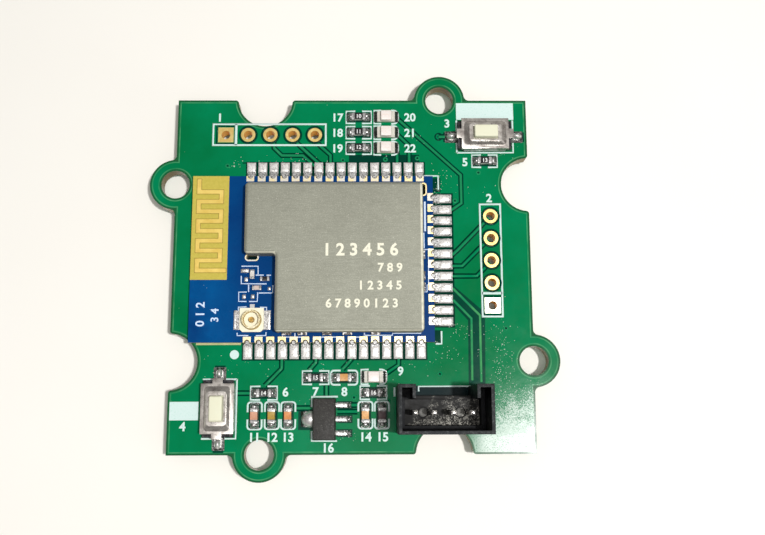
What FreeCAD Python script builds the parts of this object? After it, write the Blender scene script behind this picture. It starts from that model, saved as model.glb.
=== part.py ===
import FreeCAD, Part
import math
import os

import Sketcher

# Radio module soldered to a pinwheel-shaped carrier board, with two press switches, a four-pin
# socket, a regulator and chip parts. Millimetres, +Z up. The origin is the middle of the carrier's
# underside, which is also the middle of its four mounting holes.

Vector = FreeCAD.Vector

# Driving sizes: alias, value and what it measures.
SIZES = {
    "board_side": (40.0, "carrier board, side of the square"),
    "board_thickness": (1.6, "carrier board, laminate"),
    "ear_offset": (10.0, "ear and notch centres from the middle of a side"),
    "ear_radius": (2.9, "ear, outer radius"),
    "notch_radius": (3.1, "notch that takes a neighbouring board's ear"),
    "mount_bore": (3.2, "mounting hole, diameter"),
    "ear_root_round": (0.6, "round where an ear leaves the side"),
    "notch_lip_round": (0.35, "round where a notch leaves the side"),
    "copper": (0.035, "carrier copper, thickness"),
    "header_pitch": (2.54, "header holes, pitch"),
    "header_count": (5, "header holes in a row"),
    "header_bore": (1.0, "header hole inside its plating, diameter"),
    "header_plating": (0.03, "header hole plating, thickness"),
    "header_ring": (1.7, "round header pad, diameter"),
    "header_square": (1.75, "square pad of the first header hole, side"),
    "north_header_x": (-9.39, "far header row, middle"),
    "north_header_y": (15.86, "far header row, middle"),
    "east_header_x": (15.6, "right header row, middle"),
    "east_header_y": (1.22, "right header row, middle"),
    "module_length": (26.9, "module board along X"),
    "module_width": (18.7, "module board along Y"),
    "module_thickness": (0.8, "module board, laminate"),
    "module_x": (-4.4, "module board, middle"),
    "module_y": (1.39, "module board, middle"),
    "contact_pitch": (1.27, "edge contacts, pitch"),
    "long_row_count": (16, "edge contacts on a long side"),
    "end_row_count": (12, "edge contacts on the short side"),
    "long_row_margin": (1.445, "long contact rows, last contact from the module's right edge"),
    "end_row_shift": (-0.06, "short contact row, middle from the module's middle"),
    "contact_width": (0.86, "edge contact, width"),
    "contact_depth": (0.62, "edge contact, reach onto the module's faces"),
    "contact_bite": (0.3, "half-round hollow of an edge contact, radius"),
    "contact_plating": (0.05, "plating in the half-round hollow"),
    "contact_copper": (0.04, "edge contact, thickness on the module's faces"),
    "land_width": (1.0, "carrier land of an edge contact, width"),
    "side_land_reach": (1.72, "carrier land beyond the module, long sides"),
    "end_land_reach": (2.12, "carrier land beyond the module, short side"),
    "joint_height": (0.16, "solder on a land, height"),
    "joint_slope": (40.0, "solder on a land, flank angle in degrees"),
    "meniscus_height": (0.62, "solder climbing into a contact's hollow"),
    "meniscus_top": (0.2, "solder climbing into a contact's hollow, radius at its top"),
    "aerial_pitch": (1.115, "aerial, distance between runs"),
    "aerial_span": (2.5, "aerial, middle to middle of its two sides"),
    "aerial_trace": (0.5, "aerial, trace width"),
    "aerial_edge": (0.73, "aerial, left side's middle from the module's left edge"),
    "aerial_top": (1.83, "aerial, first run from the module's far edge"),
    "aerial_tail": (1.5, "aerial, open end beyond the first run"),
    "aerial_turns": (4, "aerial, pairs of runs"),
    "can_left_margin": (6.12, "shield can from the module's left edge"),
    "can_right_margin": (1.22, "shield can from the module's right edge"),
    "can_far_margin": (1.16, "shield can from the module's far edge"),
    "can_near_margin": (0.99, "shield can from the module's near edge"),
    "can_height": (2.0, "shield can above the module board"),
    "can_sheet": (0.2, "shield can, sheet"),
    "can_bend": (0.4, "shield can, outer bend radius"),
    "can_step_x": (3.4, "step in the can's outline, along X"),
    "can_step_y": (8.55, "step in the can's outline, along Y"),
    "can_window_height": (1.05, "openings in the can's walls, height"),
    "can_front_window": (12.6, "opening in the can's near wall, length"),
    "can_front_window_shift": (0.35, "opening in the near wall, from the step's side"),
    "can_side_window": (6.9, "opening in the can's right wall, length"),
    "can_side_window_shift": (-0.75, "opening in the right wall, from the can's middle"),
    "can_slot_length": (1.25, "plated slot at a can leg, length"),
    "can_slot_width": (0.5, "plated slot at a can leg, width"),
    "can_slot_ring": (0.15, "plated slot, rim width"),
    "can_slot_shift": (0.15, "plated slot, middle from the can's wall"),
    "right_slot_margin": (0.38, "right plated slot, middle from the can's far wall"),
    "step_slot_margin": (0.64, "plated slot in the step, middle from the can's left wall"),
    "coax_gap_side": (0.83, "coaxial receptacle's tab from the can's step"),
    "coax_gap_near": (0.49, "coaxial receptacle's foot from the near edge contacts"),
    "coax_side": (2.62, "coaxial receptacle, side of its foot"),
    "coax_foot": (0.45, "coaxial receptacle, height of its foot"),
    "coax_collar": (2.0, "coaxial receptacle, collar diameter"),
    "coax_height": (1.25, "coaxial receptacle, height"),
    "coax_wall": (0.13, "coaxial receptacle, collar wall"),
    "coax_pin_bore": (0.5, "coaxial receptacle, centre pin diameter"),
    "coax_tab": (0.45, "coaxial receptacle, reach of its tabs"),
    "coax_tab_width": (2.1, "coaxial receptacle, width of its ground tabs"),
    "coax_pin_height": (1.0, "coaxial receptacle, height of its centre pin"),
    "coax_corner": (0.33, "coaxial receptacle, cut corners of its foot"),
    "coax_gate": (0.52, "coaxial receptacle, depth of the gap in its collar over the signal tab"),
    "switch_length": (6.1, "switch base, length"),
    "switch_width": (3.2, "switch base, width"),
    "switch_base_height": (0.9, "switch base, height"),
    "switch_floor": (0.35, "switch base, floor under the dome"),
    "switch_well": (2.9, "round well of the switch base, diameter"),
    "cover_length": (5.35, "switch cover, length"),
    "cover_sheet": (0.15, "switch cover, sheet"),
    "clip_width": (1.1, "clips at the ends of the switch cover, width"),
    "clip_foot": (0.5, "clips at the ends of the switch cover, height of their lower edge"),
    "cover_gap": (0.03, "between switch base and cover"),
    "cover_deck": (1.42, "flat margin of the switch cover, height"),
    "cover_crown": (1.9, "raised middle of the switch cover, height"),
    "crown_end_space": (0.2, "inside the cover's crown, beyond the button's flange, at its ends"),
    "crown_side_space": (0.06, "inside the cover's crown, beyond the button's flange, at its sides"),
    "crown_round": (0.42, "corners of the cover's crown, outside"),
    "crown_end_slope": (0.53, "slope of the cover's crown, run at its ends"),
    "crown_side_slope": (0.29, "slope of the cover's crown, run at its sides"),
    "cover_skirt": (0.3, "switch cover's long walls, height of their lower edge"),
    "button_length": (2.62, "button, length"),
    "button_width": (1.4, "button, width"),
    "button_top": (2.5, "button, height of its top"),
    "button_round": (0.16, "button, corner round"),
    "button_gap": (0.06, "button to the cover's opening, each side"),
    "button_travel": (0.25, "button, travel"),
    "flange_overlap": (0.12, "button flange beyond the opening, each side"),
    "flange_height": (0.35, "button flange, height"),
    "plunger_bore": (1.1, "plunger under the button, diameter"),
    "dome_bore": (2.6, "snap dome, diameter"),
    "dome_rise": (0.3, "snap dome, height"),
    "dome_sheet": (0.06, "snap dome, sheet"),
    "terminal_width": (0.8, "switch terminal, width"),
    "terminal_round": (0.28, "switch terminal, corners of its tip"),
    "terminal_sheet": (0.15, "switch terminal, sheet"),
    "terminal_reach": (4.2, "switch terminal, tip from the switch's middle"),
    "terminal_root": (1.1, "switch terminal, inner end from the switch's middle"),
    "terminal_land_width": (1.35, "carrier land of a switch terminal, width"),
    "terminal_land_length": (1.5, "carrier land of a switch terminal, length"),
    "wake_x": (15.05, "far switch, middle"),
    "wake_y": (15.6, "far switch, middle"),
    "reset_x": (-14.4, "near switch, middle"),
    "reset_y": (-15.06, "near switch, middle"),
    "regulator_x": (-2.98, "regulator body, middle"),
    "regulator_y": (-16.22, "regulator body, middle"),
    "regulator_length": (4.5, "regulator body along Y"),
    "regulator_width": (2.5, "regulator body along X"),
    "regulator_height": (1.5, "regulator body, height"),
    "regulator_taper": (5.0, "regulator body, mould draft in degrees"),
    "regulator_seam": (0.4, "regulator body, height of its mould seam"),
    "lead_pitch": (1.5, "regulator leads, pitch"),
    "lead_width": (0.46, "regulator lead, width"),
    "lead_land_width": (0.56, "land of a regulator lead, width"),
    "lead_sheet": (0.4, "regulator lead frame, thickness"),
    "lead_reach": (1.2, "regulator leads beyond the body"),
    "tab_width": (1.7, "regulator tab, width"),
    "tab_reach": (0.9, "regulator tab beyond the body"),
    "socket_x": (9.62, "socket, middle"),
    "socket_y": (-15.24, "socket, middle"),
    "socket_length": (9.65, "socket along X"),
    "socket_width": (5.0, "socket along Y"),
    "socket_height": (8.0, "socket above the carrier"),
    "socket_wall": (0.36, "socket, wall"),
    "socket_ledge": (0.45, "socket, lower walls thicker by"),
    "ledge_height": (3.2, "socket, height of its thicker lower walls"),
    "socket_floor": (1.5, "socket, floor"),
    "latch_width": (6.15, "latch opening in the socket's far wall"),
    "latch_depth": (1.05, "recess of the latch opening"),
    "latch_web": (0.34, "webs beside the latch opening"),
    "latch_sill": (2.3, "sill of the latch opening, height"),
    "ejector_mark": (0.95, "ejector marks in the socket's floor, diameter"),
    "ejector_depth": (0.08, "ejector marks in the socket's floor, depth"),
    "pin_count": (4, "socket pins"),
    "pin_pitch": (2.0, "socket pins, pitch"),
    "pin_side": (0.5, "socket pin, side of its square"),
    "pin_tip": (0.18, "socket pin, taper at its ends"),
    "pin_height": (5.0, "socket pin tips above the carrier"),
    "pin_tail": (1.25, "socket pin tails below the carrier"),
    "pin_shift": (-0.36, "socket pins from the socket's middle"),
    "pin_drill": (0.9, "carrier holes for the socket pins, diameter"),
    "pin_cone_foot": (0.8, "solder cone at a socket pin, foot radius"),
    "pin_cone_top": (0.4, "solder cone at a socket pin, tip radius"),
    "pin_cone_height": (0.85, "solder cone at a socket pin, height"),
    "chip_length": (1.6, "chip part, length"),
    "chip_width": (0.8, "chip part, width"),
    "chip_end": (0.3, "chip part, length of an end cap"),
    "chip_end_skin": (0.02, "chip part, end cap proud of the body"),
    "resistor_height": (0.45, "chip resistor, height"),
    "capacitor_height": (0.78, "chip capacitor, height"),
    "chip_land": (0.62, "carrier land beyond a chip's end"),
    "chip_land_under": (0.3, "carrier land under a chip's end"),
    "chip_land_width": (0.95, "carrier land of a chip, width"),
    "chip_joint_rise": (0.3, "solder at a chip's end, height"),
    "chip_joint_share": (0.7, "solder at a chip's end, share of its land that it covers"),
    "chip_joint_reach": (0.42, "solder at the regulator's leads, reach"),
    "light_length": (2.0, "light chip, length"),
    "light_width": (1.25, "light chip, width"),
    "light_end": (0.35, "light chip, length of an end contact"),
    "light_land": (0.42, "carrier land beyond a light chip's end"),
    "light_land_width": (1.3, "carrier land of a light chip, width"),
    "light_base": (0.3, "light chip, carrier plate height"),
    "light_lens": (0.5, "light chip, lens height"),
    "light_lens_length": (1.3, "light chip, lens length"),
    "light_lens_slope": (8.0, "light chip, lens draft in degrees"),
    "small_chip_length": (1.0, "small chip part, length"),
    "small_chip_width": (0.5, "small chip part, width"),
    "small_chip_height": (0.45, "small chip part, height"),
    "small_chip_end": (0.2, "small chip part, length of an end cap"),
    "radio_side": (9.0, "radio chip, side"),
    "radio_height": (0.9, "radio chip, height"),
    "radio_chamfer": (0.12, "radio and memory chips, top edge"),
    "radio_mark": (0.7, "radio chip, mark at its first contact, diameter"),
    "radio_mark_depth": (0.07, "radio chip, mark at its first contact, depth"),
    "wall_gap": (0.5, "hidden parts from the can's right and far walls, inside"),
    "part_gap": (0.45, "between hidden parts"),
    "bypass_pitch": (1.1, "bypass capacitors, pitch"),
    "bypass_count": (7, "bypass capacitors above the radio chip"),
    "memory_length": (3.0, "memory chip, length"),
    "memory_width": (2.0, "memory chip, width"),
    "memory_height": (0.6, "memory chip, height"),
    "crystal_length": (3.2, "main crystal, length"),
    "crystal_width": (2.5, "main crystal, width"),
    "crystal_height": (0.75, "main crystal, height"),
    "crystal_foot": (0.5, "crystals, height of the ceramic foot"),
    "crystal_lid_inset": (0.15, "crystal lid inside its ceramic foot"),
    "watch_crystal_width": (1.5, "slow crystal, width"),
    "filter_length": (2.0, "band filter, length"),
    "filter_width": (1.25, "band filter, width"),
    "filter_height": (0.95, "band filter, height"),
    "coil_length": (2.5, "power inductor, length"),
    "coil_width": (2.0, "power inductor, width"),
    "coil_height": (1.2, "power inductor, height"),
    "coil_round": (0.25, "power inductor, upright edges"),
}

# Places of the carrier's chip parts: name, x, y and turn about +Z in degrees.
RESISTORS = [
    ("led_resistor_upper", 0.71, 17.97, 0),
    ("led_resistor_middle", 0.71, 16.14, 0),
    ("led_resistor_lower", 0.71, 14.29, 0),
    ("wake_pullup_resistor", 15.08, 12.75, 0),
    ("reset_pullup_resistor", -9.59, -13.40, 0),
    ("mode_resistor", -3.98, -11.75, 0),
    ("power_led_resistor", 2.32, -13.39, 0),
]
CAPACITORS = [
    ("module_bypass_capacitor", -0.87, -11.76, 0),
    ("input_capacitor_small", 1.45, -15.80, 90),
    ("input_capacitor_large", 3.24, -15.81, 90),
    ("reset_capacitor", -10.55, -15.83, 90),
    ("output_capacitor_small", -8.68, -15.81, 90),
    ("output_capacitor_large", -6.92, -15.82, 90),
]
LIGHTS = [
    ("status_led_upper", 3.85, 18.00, 0),
    ("status_led_middle", 3.84, 16.14, 0),
    ("status_led_lower", 3.83, 14.29, 0),
    ("power_led", 2.36, -11.69, 0),
]
# Small chips beside the coaxial receptacle: name, distance from the corner of the can's step, turn.
MATCHING_CHIPS = [
    ("matching_inductor", -2.64, -2.07, 90),
    ("matching_capacitor", -1.25, -2.57, 0),
    ("matching_resistor", -2.11, -3.57, 0),
]
# Small chips half under the can: along the near wall from the step, along the right wall from its middle.
NEAR_WALL_CHIPS = [1.23, 2.93, 5.63, 7.83, 10.93]
RIGHT_WALL_CHIPS = [0.4, -2.0, -3.25]
# How close two lengths are when they count as the same, in a shape's edges and between its corners.
CLOSE = 0.0001
NEAR = 0.02

DOC = FreeCAD.newDocument("radio_carrier")
SHEET = DOC.addObject("Spreadsheet::Sheet", "Sizes")
NODES = []


class Size:
    """A length of the sheet, or one worked out from such lengths: its value and its formula."""

    def __init__(self, value, formula):
        self.value = value
        self.formula = formula

    def __add__(self, other):
        other = as_size(other)
        return Size(self.value + other.value, "(" + self.formula + " + " + other.formula + ")")

    def __sub__(self, other):
        other = as_size(other)
        return Size(self.value - other.value, "(" + self.formula + " - " + other.formula + ")")

    def __mul__(self, other):
        other = as_size(other)
        return Size(self.value * other.value, self.formula + " * " + other.formula)

    def __truediv__(self, other):
        other = as_size(other)
        return Size(self.value / other.value, self.formula + " / (" + other.formula + ")")

    def __neg__(self):
        return Size(-self.value, "(0 - " + self.formula + ")")

    def __radd__(self, other):
        return as_size(other) + self


def as_size(number):
    """A plain number as a Size."""
    return number if isinstance(number, Size) else Size(float(number), "(" + repr(float(number)) + ")")


class Sheet:
    """Gives each alias of the sheet as a Size."""

    def __getattr__(self, alias):
        return Size(float(SIZES[alias][0]), "Sizes." + alias)


d = Sheet()


def fill_sheet():
    for row, (alias, (value, meaning)) in enumerate(SIZES.items(), 1):
        SHEET.set("A%d" % row, meaning)
        SHEET.set("B%d" % row, str(value))
        SHEET.setAlias("B%d" % row, alias)
    DOC.recompute()


def bind(thing, path, size):
    """Ties one property of an object to the sheet."""
    thing.setExpression(path, as_size(size).formula)


def node(thing, label):
    """Names an object as one piece of the part."""
    thing.Label = label
    NODES.append(thing)
    return thing


def place(thing, x, y, z, turn=0, tilt=0):
    """Puts an object at x, y, z, tilted about X and then turned about Z, in degrees."""
    turned = FreeCAD.Rotation(Vector(0, 0, 1), turn)
    tilted = FreeCAD.Rotation(Vector(1, 0, 0), tilt)
    thing.Placement = FreeCAD.Placement(Vector(0, 0, 0), turned.multiply(tilted))
    for axis, size in zip("xyz", (x, y, z)):
        bind(thing, "Placement.Base." + axis, size)
    return thing


def origin_part(body, role):
    """One plane or axis of a body's own origin."""
    return next(part for part in body.Origin.OriginFeatures if part.Role == role)


# Sketches. Each is centred on its own origin, which is offset from its body's.


def new_body(name, many=False):
    body = DOC.addObject("PartDesign::Body", name)
    body.AllowCompound = many
    return body


def new_sketch(body, name, at=(0, 0, 0), turn=0, plane="XY_Plane"):
    sketch = body.newObject("Sketcher::SketchObject", name)
    sketch.AttachmentSupport = (origin_part(body, plane), [""])
    sketch.MapMode = "FlatFace"
    offset = Vector(*[as_size(size).value for size in at])
    sketch.AttachmentOffset = FreeCAD.Placement(offset, FreeCAD.Rotation(Vector(0, 0, 1), turn))
    for axis, size in zip("xyz", at):
        bind(sketch, "AttachmentOffset.Base." + axis, size)
    return sketch


def limit(sketch, name, *constraint, size):
    """Adds a dimension to a sketch and ties it to the sheet."""
    index = sketch.addConstraint(Sketcher.Constraint(*constraint, as_size(size).value))
    sketch.renameConstraint(index, name)
    bind(sketch, "Constraints." + name, size)


def closed_line(sketch, points):
    """Straight lines through the points and back to the first; returns the first line's number."""
    first = sketch.GeometryCount
    count = len(points)
    for number in range(count):
        start = Vector(*points[number], 0)
        end = Vector(*points[(number + 1) % count], 0)
        sketch.addGeometry(Part.LineSegment(start, end), False)
    for number in range(count):
        following = first + (number + 1) % count
        sketch.addConstraint(Sketcher.Constraint("Coincident", first + number, 2, following, 1))
    return first


def rectangle(sketch, width, depth, name=""):
    """A rectangle about the sketch's origin."""
    half_width, half_depth = as_size(width).value / 2, as_size(depth).value / 2
    corners = [(-half_width, -half_depth), (half_width, -half_depth)]
    corners += [(half_width, half_depth), (-half_width, half_depth)]
    first = closed_line(sketch, corners)
    for side, rule in enumerate(("Horizontal", "Vertical", "Horizontal", "Vertical")):
        sketch.addConstraint(Sketcher.Constraint(rule, first + side))
    sketch.addConstraint(Sketcher.Constraint("Symmetric", first, 1, first + 1, 2, -1, 1))
    limit(sketch, name + "width", "DistanceX", first, 1, first, 2, size=width)
    limit(sketch, name + "depth", "DistanceY", first + 1, 1, first + 1, 2, size=depth)
    return sketch


def rounded_rectangle(sketch, width, depth, radius):
    """A rectangle about the sketch's origin with round corners."""
    reach_x, reach_y = width.value / 2 - radius.value, depth.value / 2 - radius.value
    half_x, half_y, r = width.value / 2, depth.value / 2, radius.value
    sides = [
        (Vector(-reach_x, -half_y, 0), Vector(reach_x, -half_y, 0)),
        (Vector(half_x, -reach_y, 0), Vector(half_x, reach_y, 0)),
        (Vector(reach_x, half_y, 0), Vector(-reach_x, half_y, 0)),
        (Vector(-half_x, reach_y, 0), Vector(-half_x, -reach_y, 0)),
    ]
    centres = [(reach_x, -reach_y), (reach_x, reach_y), (-reach_x, reach_y), (-reach_x, -reach_y)]
    for number in range(4):
        sketch.addGeometry(Part.LineSegment(*sides[number]), False)
        whole = Part.Circle(Vector(*centres[number], 0), Vector(0, 0, 1), r)
        start = math.pi / 2 * (number - 1)
        sketch.addGeometry(Part.ArcOfCircle(whole, start, start + math.pi / 2), False)
    for number in range(8):
        sketch.addConstraint(Sketcher.Constraint("Tangent", number, 2, (number + 1) % 8, 1))
    for side, rule in ((0, "Horizontal"), (2, "Vertical"), (4, "Horizontal"), (6, "Vertical")):
        sketch.addConstraint(Sketcher.Constraint(rule, side))
    for arc in (3, 5, 7):
        sketch.addConstraint(Sketcher.Constraint("Equal", 1, arc))
    sketch.addConstraint(Sketcher.Constraint("Symmetric", 3, 3, 7, 3, -1, 1))
    limit(sketch, "radius", "Radius", 1, size=radius)
    limit(sketch, "width", "DistanceX", 5, 3, 3, 3, size=width - radius * 2)
    limit(sketch, "depth", "DistanceY", 1, 3, 3, 3, size=depth - radius * 2)
    return sketch


def circle(sketch, diameter, name=""):
    """A circle about the sketch's origin."""
    radius = as_size(diameter).value / 2
    index = sketch.addGeometry(Part.Circle(Vector(0, 0, 0), Vector(0, 0, 1), radius), False)
    sketch.addConstraint(Sketcher.Constraint("Coincident", index, 3, -1, 1))
    limit(sketch, name + "diameter", "Diameter", index, size=diameter)
    return sketch


def slot(sketch, length, width):
    """A round-ended slot along the sketch's X, about its origin."""
    reach, radius = (as_size(length).value - as_size(width).value) / 2, as_size(width).value / 2
    lower_line = Part.LineSegment(Vector(-reach, -radius, 0), Vector(reach, -radius, 0))
    lower = sketch.addGeometry(lower_line, False)
    upper = sketch.addGeometry(Part.LineSegment(Vector(reach, radius, 0), Vector(-reach, radius, 0)), False)
    ends = []
    for side, start in ((1, -math.pi / 2), (-1, math.pi / 2)):
        whole = Part.Circle(Vector(side * reach, 0, 0), Vector(0, 0, 1), radius)
        ends.append(sketch.addGeometry(Part.ArcOfCircle(whole, start, start + math.pi), False))
    for first, second in ((lower, ends[0]), (ends[0], upper), (upper, ends[1]), (ends[1], lower)):
        sketch.addConstraint(Sketcher.Constraint("Tangent", first, 2, second, 1))
    sketch.addConstraint(Sketcher.Constraint("Horizontal", lower))
    sketch.addConstraint(Sketcher.Constraint("Symmetric", lower, 1, upper, 1, -1, 1))
    limit(sketch, "spread", "DistanceX", lower, 1, lower, 2, size=as_size(length) - width)
    limit(sketch, "width", "DistanceY", lower, 2, upper, 1, size=width)
    return sketch


def bitten_land(sketch, width, depth, bite):
    """A land behind the X axis, width wide, with a half-round bite in its straight front edge."""
    half, back, radius = width.value / 2, -depth.value, bite.value
    points = [(-half, 0), (-radius, 0), (radius, 0), (half, 0), (half, back), (-half, back)]
    whole = Part.Circle(Vector(0, 0, 0), Vector(0, 0, 1), radius)
    lines = [Part.LineSegment(Vector(*points[i], 0), Vector(*points[(i + 1) % 6], 0)) for i in range(6)]
    lines[1] = Part.ArcOfCircle(whole, math.pi, 2 * math.pi)
    for line in lines:
        sketch.addGeometry(line, False)
    for index in range(6):
        sketch.addConstraint(Sketcher.Constraint("Coincident", index, 2, (index + 1) % 6, 1))
    sketch.addConstraint(Sketcher.Constraint("Coincident", 1, 3, -1, 1))
    for index, rule in ((0, "Horizontal"), (2, "Horizontal"), (3, "Vertical"), (5, "Vertical")):
        sketch.addConstraint(Sketcher.Constraint(rule, index))
    sketch.addConstraint(Sketcher.Constraint("PointOnObject", 1, 1, -1))
    sketch.addConstraint(Sketcher.Constraint("PointOnObject", 1, 2, -1))
    sketch.addConstraint(Sketcher.Constraint("Symmetric", 4, 1, 4, 2, -2))
    limit(sketch, "bite", "Radius", 1, size=bite)
    limit(sketch, "width", "DistanceX", 4, 2, 4, 1, size=width)
    limit(sketch, "depth", "DistanceY", 3, 2, 3, 1, size=depth)
    return sketch


def half_ring(sketch, outer, inner):
    """Half of a ring behind the X axis."""
    for radius in (outer, inner):
        whole = Part.Circle(Vector(0, 0, 0), Vector(0, 0, 1), radius.value)
        sketch.addGeometry(Part.ArcOfCircle(whole, math.pi, 2 * math.pi), False)
    left = (Vector(-outer.value, 0, 0), Vector(-inner.value, 0, 0))
    right = (Vector(outer.value, 0, 0), Vector(inner.value, 0, 0))
    for ends in (left, right):
        sketch.addGeometry(Part.LineSegment(*ends), False)
    for first, end, line, start in ((0, 1, 2, 1), (1, 1, 2, 2), (0, 2, 3, 1), (1, 2, 3, 2)):
        sketch.addConstraint(Sketcher.Constraint("Coincident", first, end, line, start))
    for arc in (0, 1):
        sketch.addConstraint(Sketcher.Constraint("Coincident", arc, 3, -1, 1))
        sketch.addConstraint(Sketcher.Constraint("PointOnObject", arc, 1, -1))
        sketch.addConstraint(Sketcher.Constraint("PointOnObject", arc, 2, -1))
    limit(sketch, "outer", "Radius", 0, size=outer)
    limit(sketch, "inner", "Radius", 1, size=inner)
    return sketch


# Features of a body.


def feature(body, kind, name, sketch, length):
    made = body.newObject("PartDesign::" + kind, name)
    made.Profile = sketch
    bind(made, "Length", length)
    return finish(body, made)


def finish(body, made):
    """Makes a feature the body's last; bodies of many solids skip the joining of flush faces."""
    made.Refine = not body.AllowCompound
    body.Tip = made
    return made


def pad(body, name, sketch, length, draft=None):
    made = feature(body, "Pad", name, sketch, length)
    if draft is not None:
        bind(made, "TaperAngle", -draft)
    return made


def pocket(body, name, sketch, length):
    """Cuts downward from the sketch's plane."""
    return feature(body, "Pocket", name, sketch, length)


def block(body, name, length, width, height, at, turn=0):
    """A box of a body: centred on at in plan, standing on at's height."""
    made = body.newObject("PartDesign::AdditiveBox", name)
    for path, size in (("Length", length), ("Width", width), ("Height", height)):
        bind(made, path, size)
    x, y, z = at
    place(made, as_size(x) - as_size(length) / 2, as_size(y) - as_size(width) / 2, z, turn)
    return finish(body, made)


def row(body, name, originals, direction, length, count):
    """Repeats features along a direction of a sketch."""
    made = body.newObject("PartDesign::LinearPattern", name)
    made.Originals = originals
    made.Direction = direction
    bind(made, "Length", length)
    bind(made, "Occurrences", count)
    return finish(body, made)


def round_of_four(body, name, originals):
    """Repeats features at the four sides of the board."""
    made = body.newObject("PartDesign::PolarPattern", name)
    made.Originals = originals
    made.Axis = (origin_part(body, "Z_Axis"), [""])
    made.Angle = 360
    made.Occurrences = 4
    body.Tip = made
    return made


def edges(made, wanted):
    """Names of a feature's edges for which wanted is true."""
    DOC.recompute()
    return ["Edge%d" % number for number, edge in enumerate(made.Shape.Edges, 1) if wanted(edge)]


def dress(body, kind, name, base, wanted, size):
    """A fillet or chamfer on the wanted edges of the last feature."""
    made = body.newObject("PartDesign::" + kind, name)
    made.Base = (base, edges(base, wanted))
    bind(made, "Radius" if kind == "Fillet" else "Size", size)
    body.Tip = made
    return made


def group(label, pieces):
    """One node of several separate solids."""
    made = DOC.addObject("Part::Compound", label)
    made.Links = pieces
    return node(made, label)


def seated(label, carrier, carried):
    """One node: the carrier with the seats of what it carries cut out of it."""
    made = DOC.addObject("Part::Cut", label)
    made.Base = carrier
    made.Tool = carried
    return node(made, label)


def upright(edge):
    box = edge.BoundBox
    return box.XLength < CLOSE and box.YLength < CLOSE and box.ZLength > CLOSE


def at_height(edge, height):
    box = edge.BoundBox
    return abs(box.ZMin - height) < CLOSE and abs(box.ZMax - height) < CLOSE


# Heights that pieces share.


def carrier_top():
    return d.board_thickness


def land_top():
    return d.board_thickness + d.copper


def module_bottom():
    return land_top() + d.contact_copper


def module_top():
    return module_bottom() + d.module_thickness


def contact_rows():
    """The module's edge-contact rows: name, middle of the row on the edge, turn, count and reach."""
    far, near = d.module_y + d.module_width / 2, d.module_y - d.module_width / 2
    right = d.module_x + d.module_length / 2
    long_x = right - d.long_row_margin - d.contact_pitch * (d.long_row_count - 1) / 2
    return [
        ("far", long_x, far, 0, d.long_row_count, d.side_land_reach),
        ("near", long_x, near, 180, d.long_row_count, d.side_land_reach),
        ("right", right, d.module_y + d.end_row_shift, -90, d.end_row_count, d.end_land_reach),
    ]


def row_start(x, y, turn, count):
    """First contact of a row that runs along its own turned X axis, centred on x, y."""
    back = d.contact_pitch * (as_size(count) - 1) / 2
    return x - back * round(math.cos(math.radians(turn))), y - back * round(math.sin(math.radians(turn)))


# The carrier board.


def carrier_board():
    body = node(new_body("carrier_board"), "carrier_board")
    top, half = carrier_top(), d.board_side / 2
    sketch = rectangle(new_sketch(body, "board_outline"), d.board_side, d.board_side)
    pad(body, "board_plate", sketch, d.board_thickness)
    ear = pad(body, "ear", circle(new_sketch(body, "ear_outline", (d.ear_offset, half, 0)),
                                  d.ear_radius * 2), d.board_thickness)
    round_of_four(body, "ears", [ear])
    notch = pocket(body, "notch", circle(new_sketch(body, "notch_outline", (-d.ear_offset, half, top)),
                                         d.notch_radius * 2), d.board_thickness)
    notches = round_of_four(body, "notches", [notch])
    root = ear_root_distance(d.ear_radius.value)
    lip = ear_root_distance(d.notch_radius.value)
    roots = dress(body, "Fillet", "ear_roots", notches,
                  lambda edge: upright(edge) and near_spots(edge, root, 1), d.ear_root_round)
    dress(body, "Fillet", "notch_lips", roots,
          lambda edge: upright(edge) and near_spots(edge, lip, -1), d.notch_lip_round)
    hole_outline = circle(new_sketch(body, "mount_hole_outline", (d.ear_offset, half, top)), d.mount_bore)
    hole = pocket(body, "mount_hole", hole_outline, d.board_thickness)
    round_of_four(body, "mount_holes", [hole])
    for name, x, y, turn in header_rows():
        sketch = circle(new_sketch(body, name + "_drill_outline", (x, y, top), turn), header_drill())
        drill = pocket(body, name + "_drill", sketch, d.board_thickness)
        row(body, name + "_drills", [drill], (sketch, ["H_Axis"]), header_length(), d.header_count)
    x, y = first_pin()
    sketch = circle(new_sketch(body, "pin_drill_outline", (x, y, top)), d.pin_drill)
    drill = pocket(body, "pin_drill_hole", sketch, d.board_thickness)
    row(body, "pin_drills", [drill], (sketch, ["H_Axis"]), d.pin_pitch * (d.pin_count - 1), d.pin_count)
    return body


def ear_root_distance(radius):
    """Where a circle centred on a side meets it, from the middle of the side, on either hand."""
    offset = d.ear_offset.value
    return (offset - radius, offset + radius)


def near_spots(edge, distances, hand):
    """True for an upright edge at one of the distances along a side, on the ears' or notches' hand."""
    half = d.board_side.value / 2
    x, y = edge.BoundBox.Center.x, edge.BoundBox.Center.y
    for quarter in range(4):
        if abs(y - half) < NEAR and any(abs(x - hand * spot) < NEAR for spot in distances):
            return True
        x, y = -y, x
    return False


def header_rows():
    """Header rows: name, place of the first hole and turn."""
    back = header_length() / 2
    return [
        ("north_header", d.north_header_x - back, d.north_header_y, 0),
        ("east_header", d.east_header_x, d.east_header_y - back, 90),
    ]


def header_length():
    return d.header_pitch * (d.header_count - 1)


def header_drill():
    return d.header_bore + d.header_plating * 2


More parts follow.
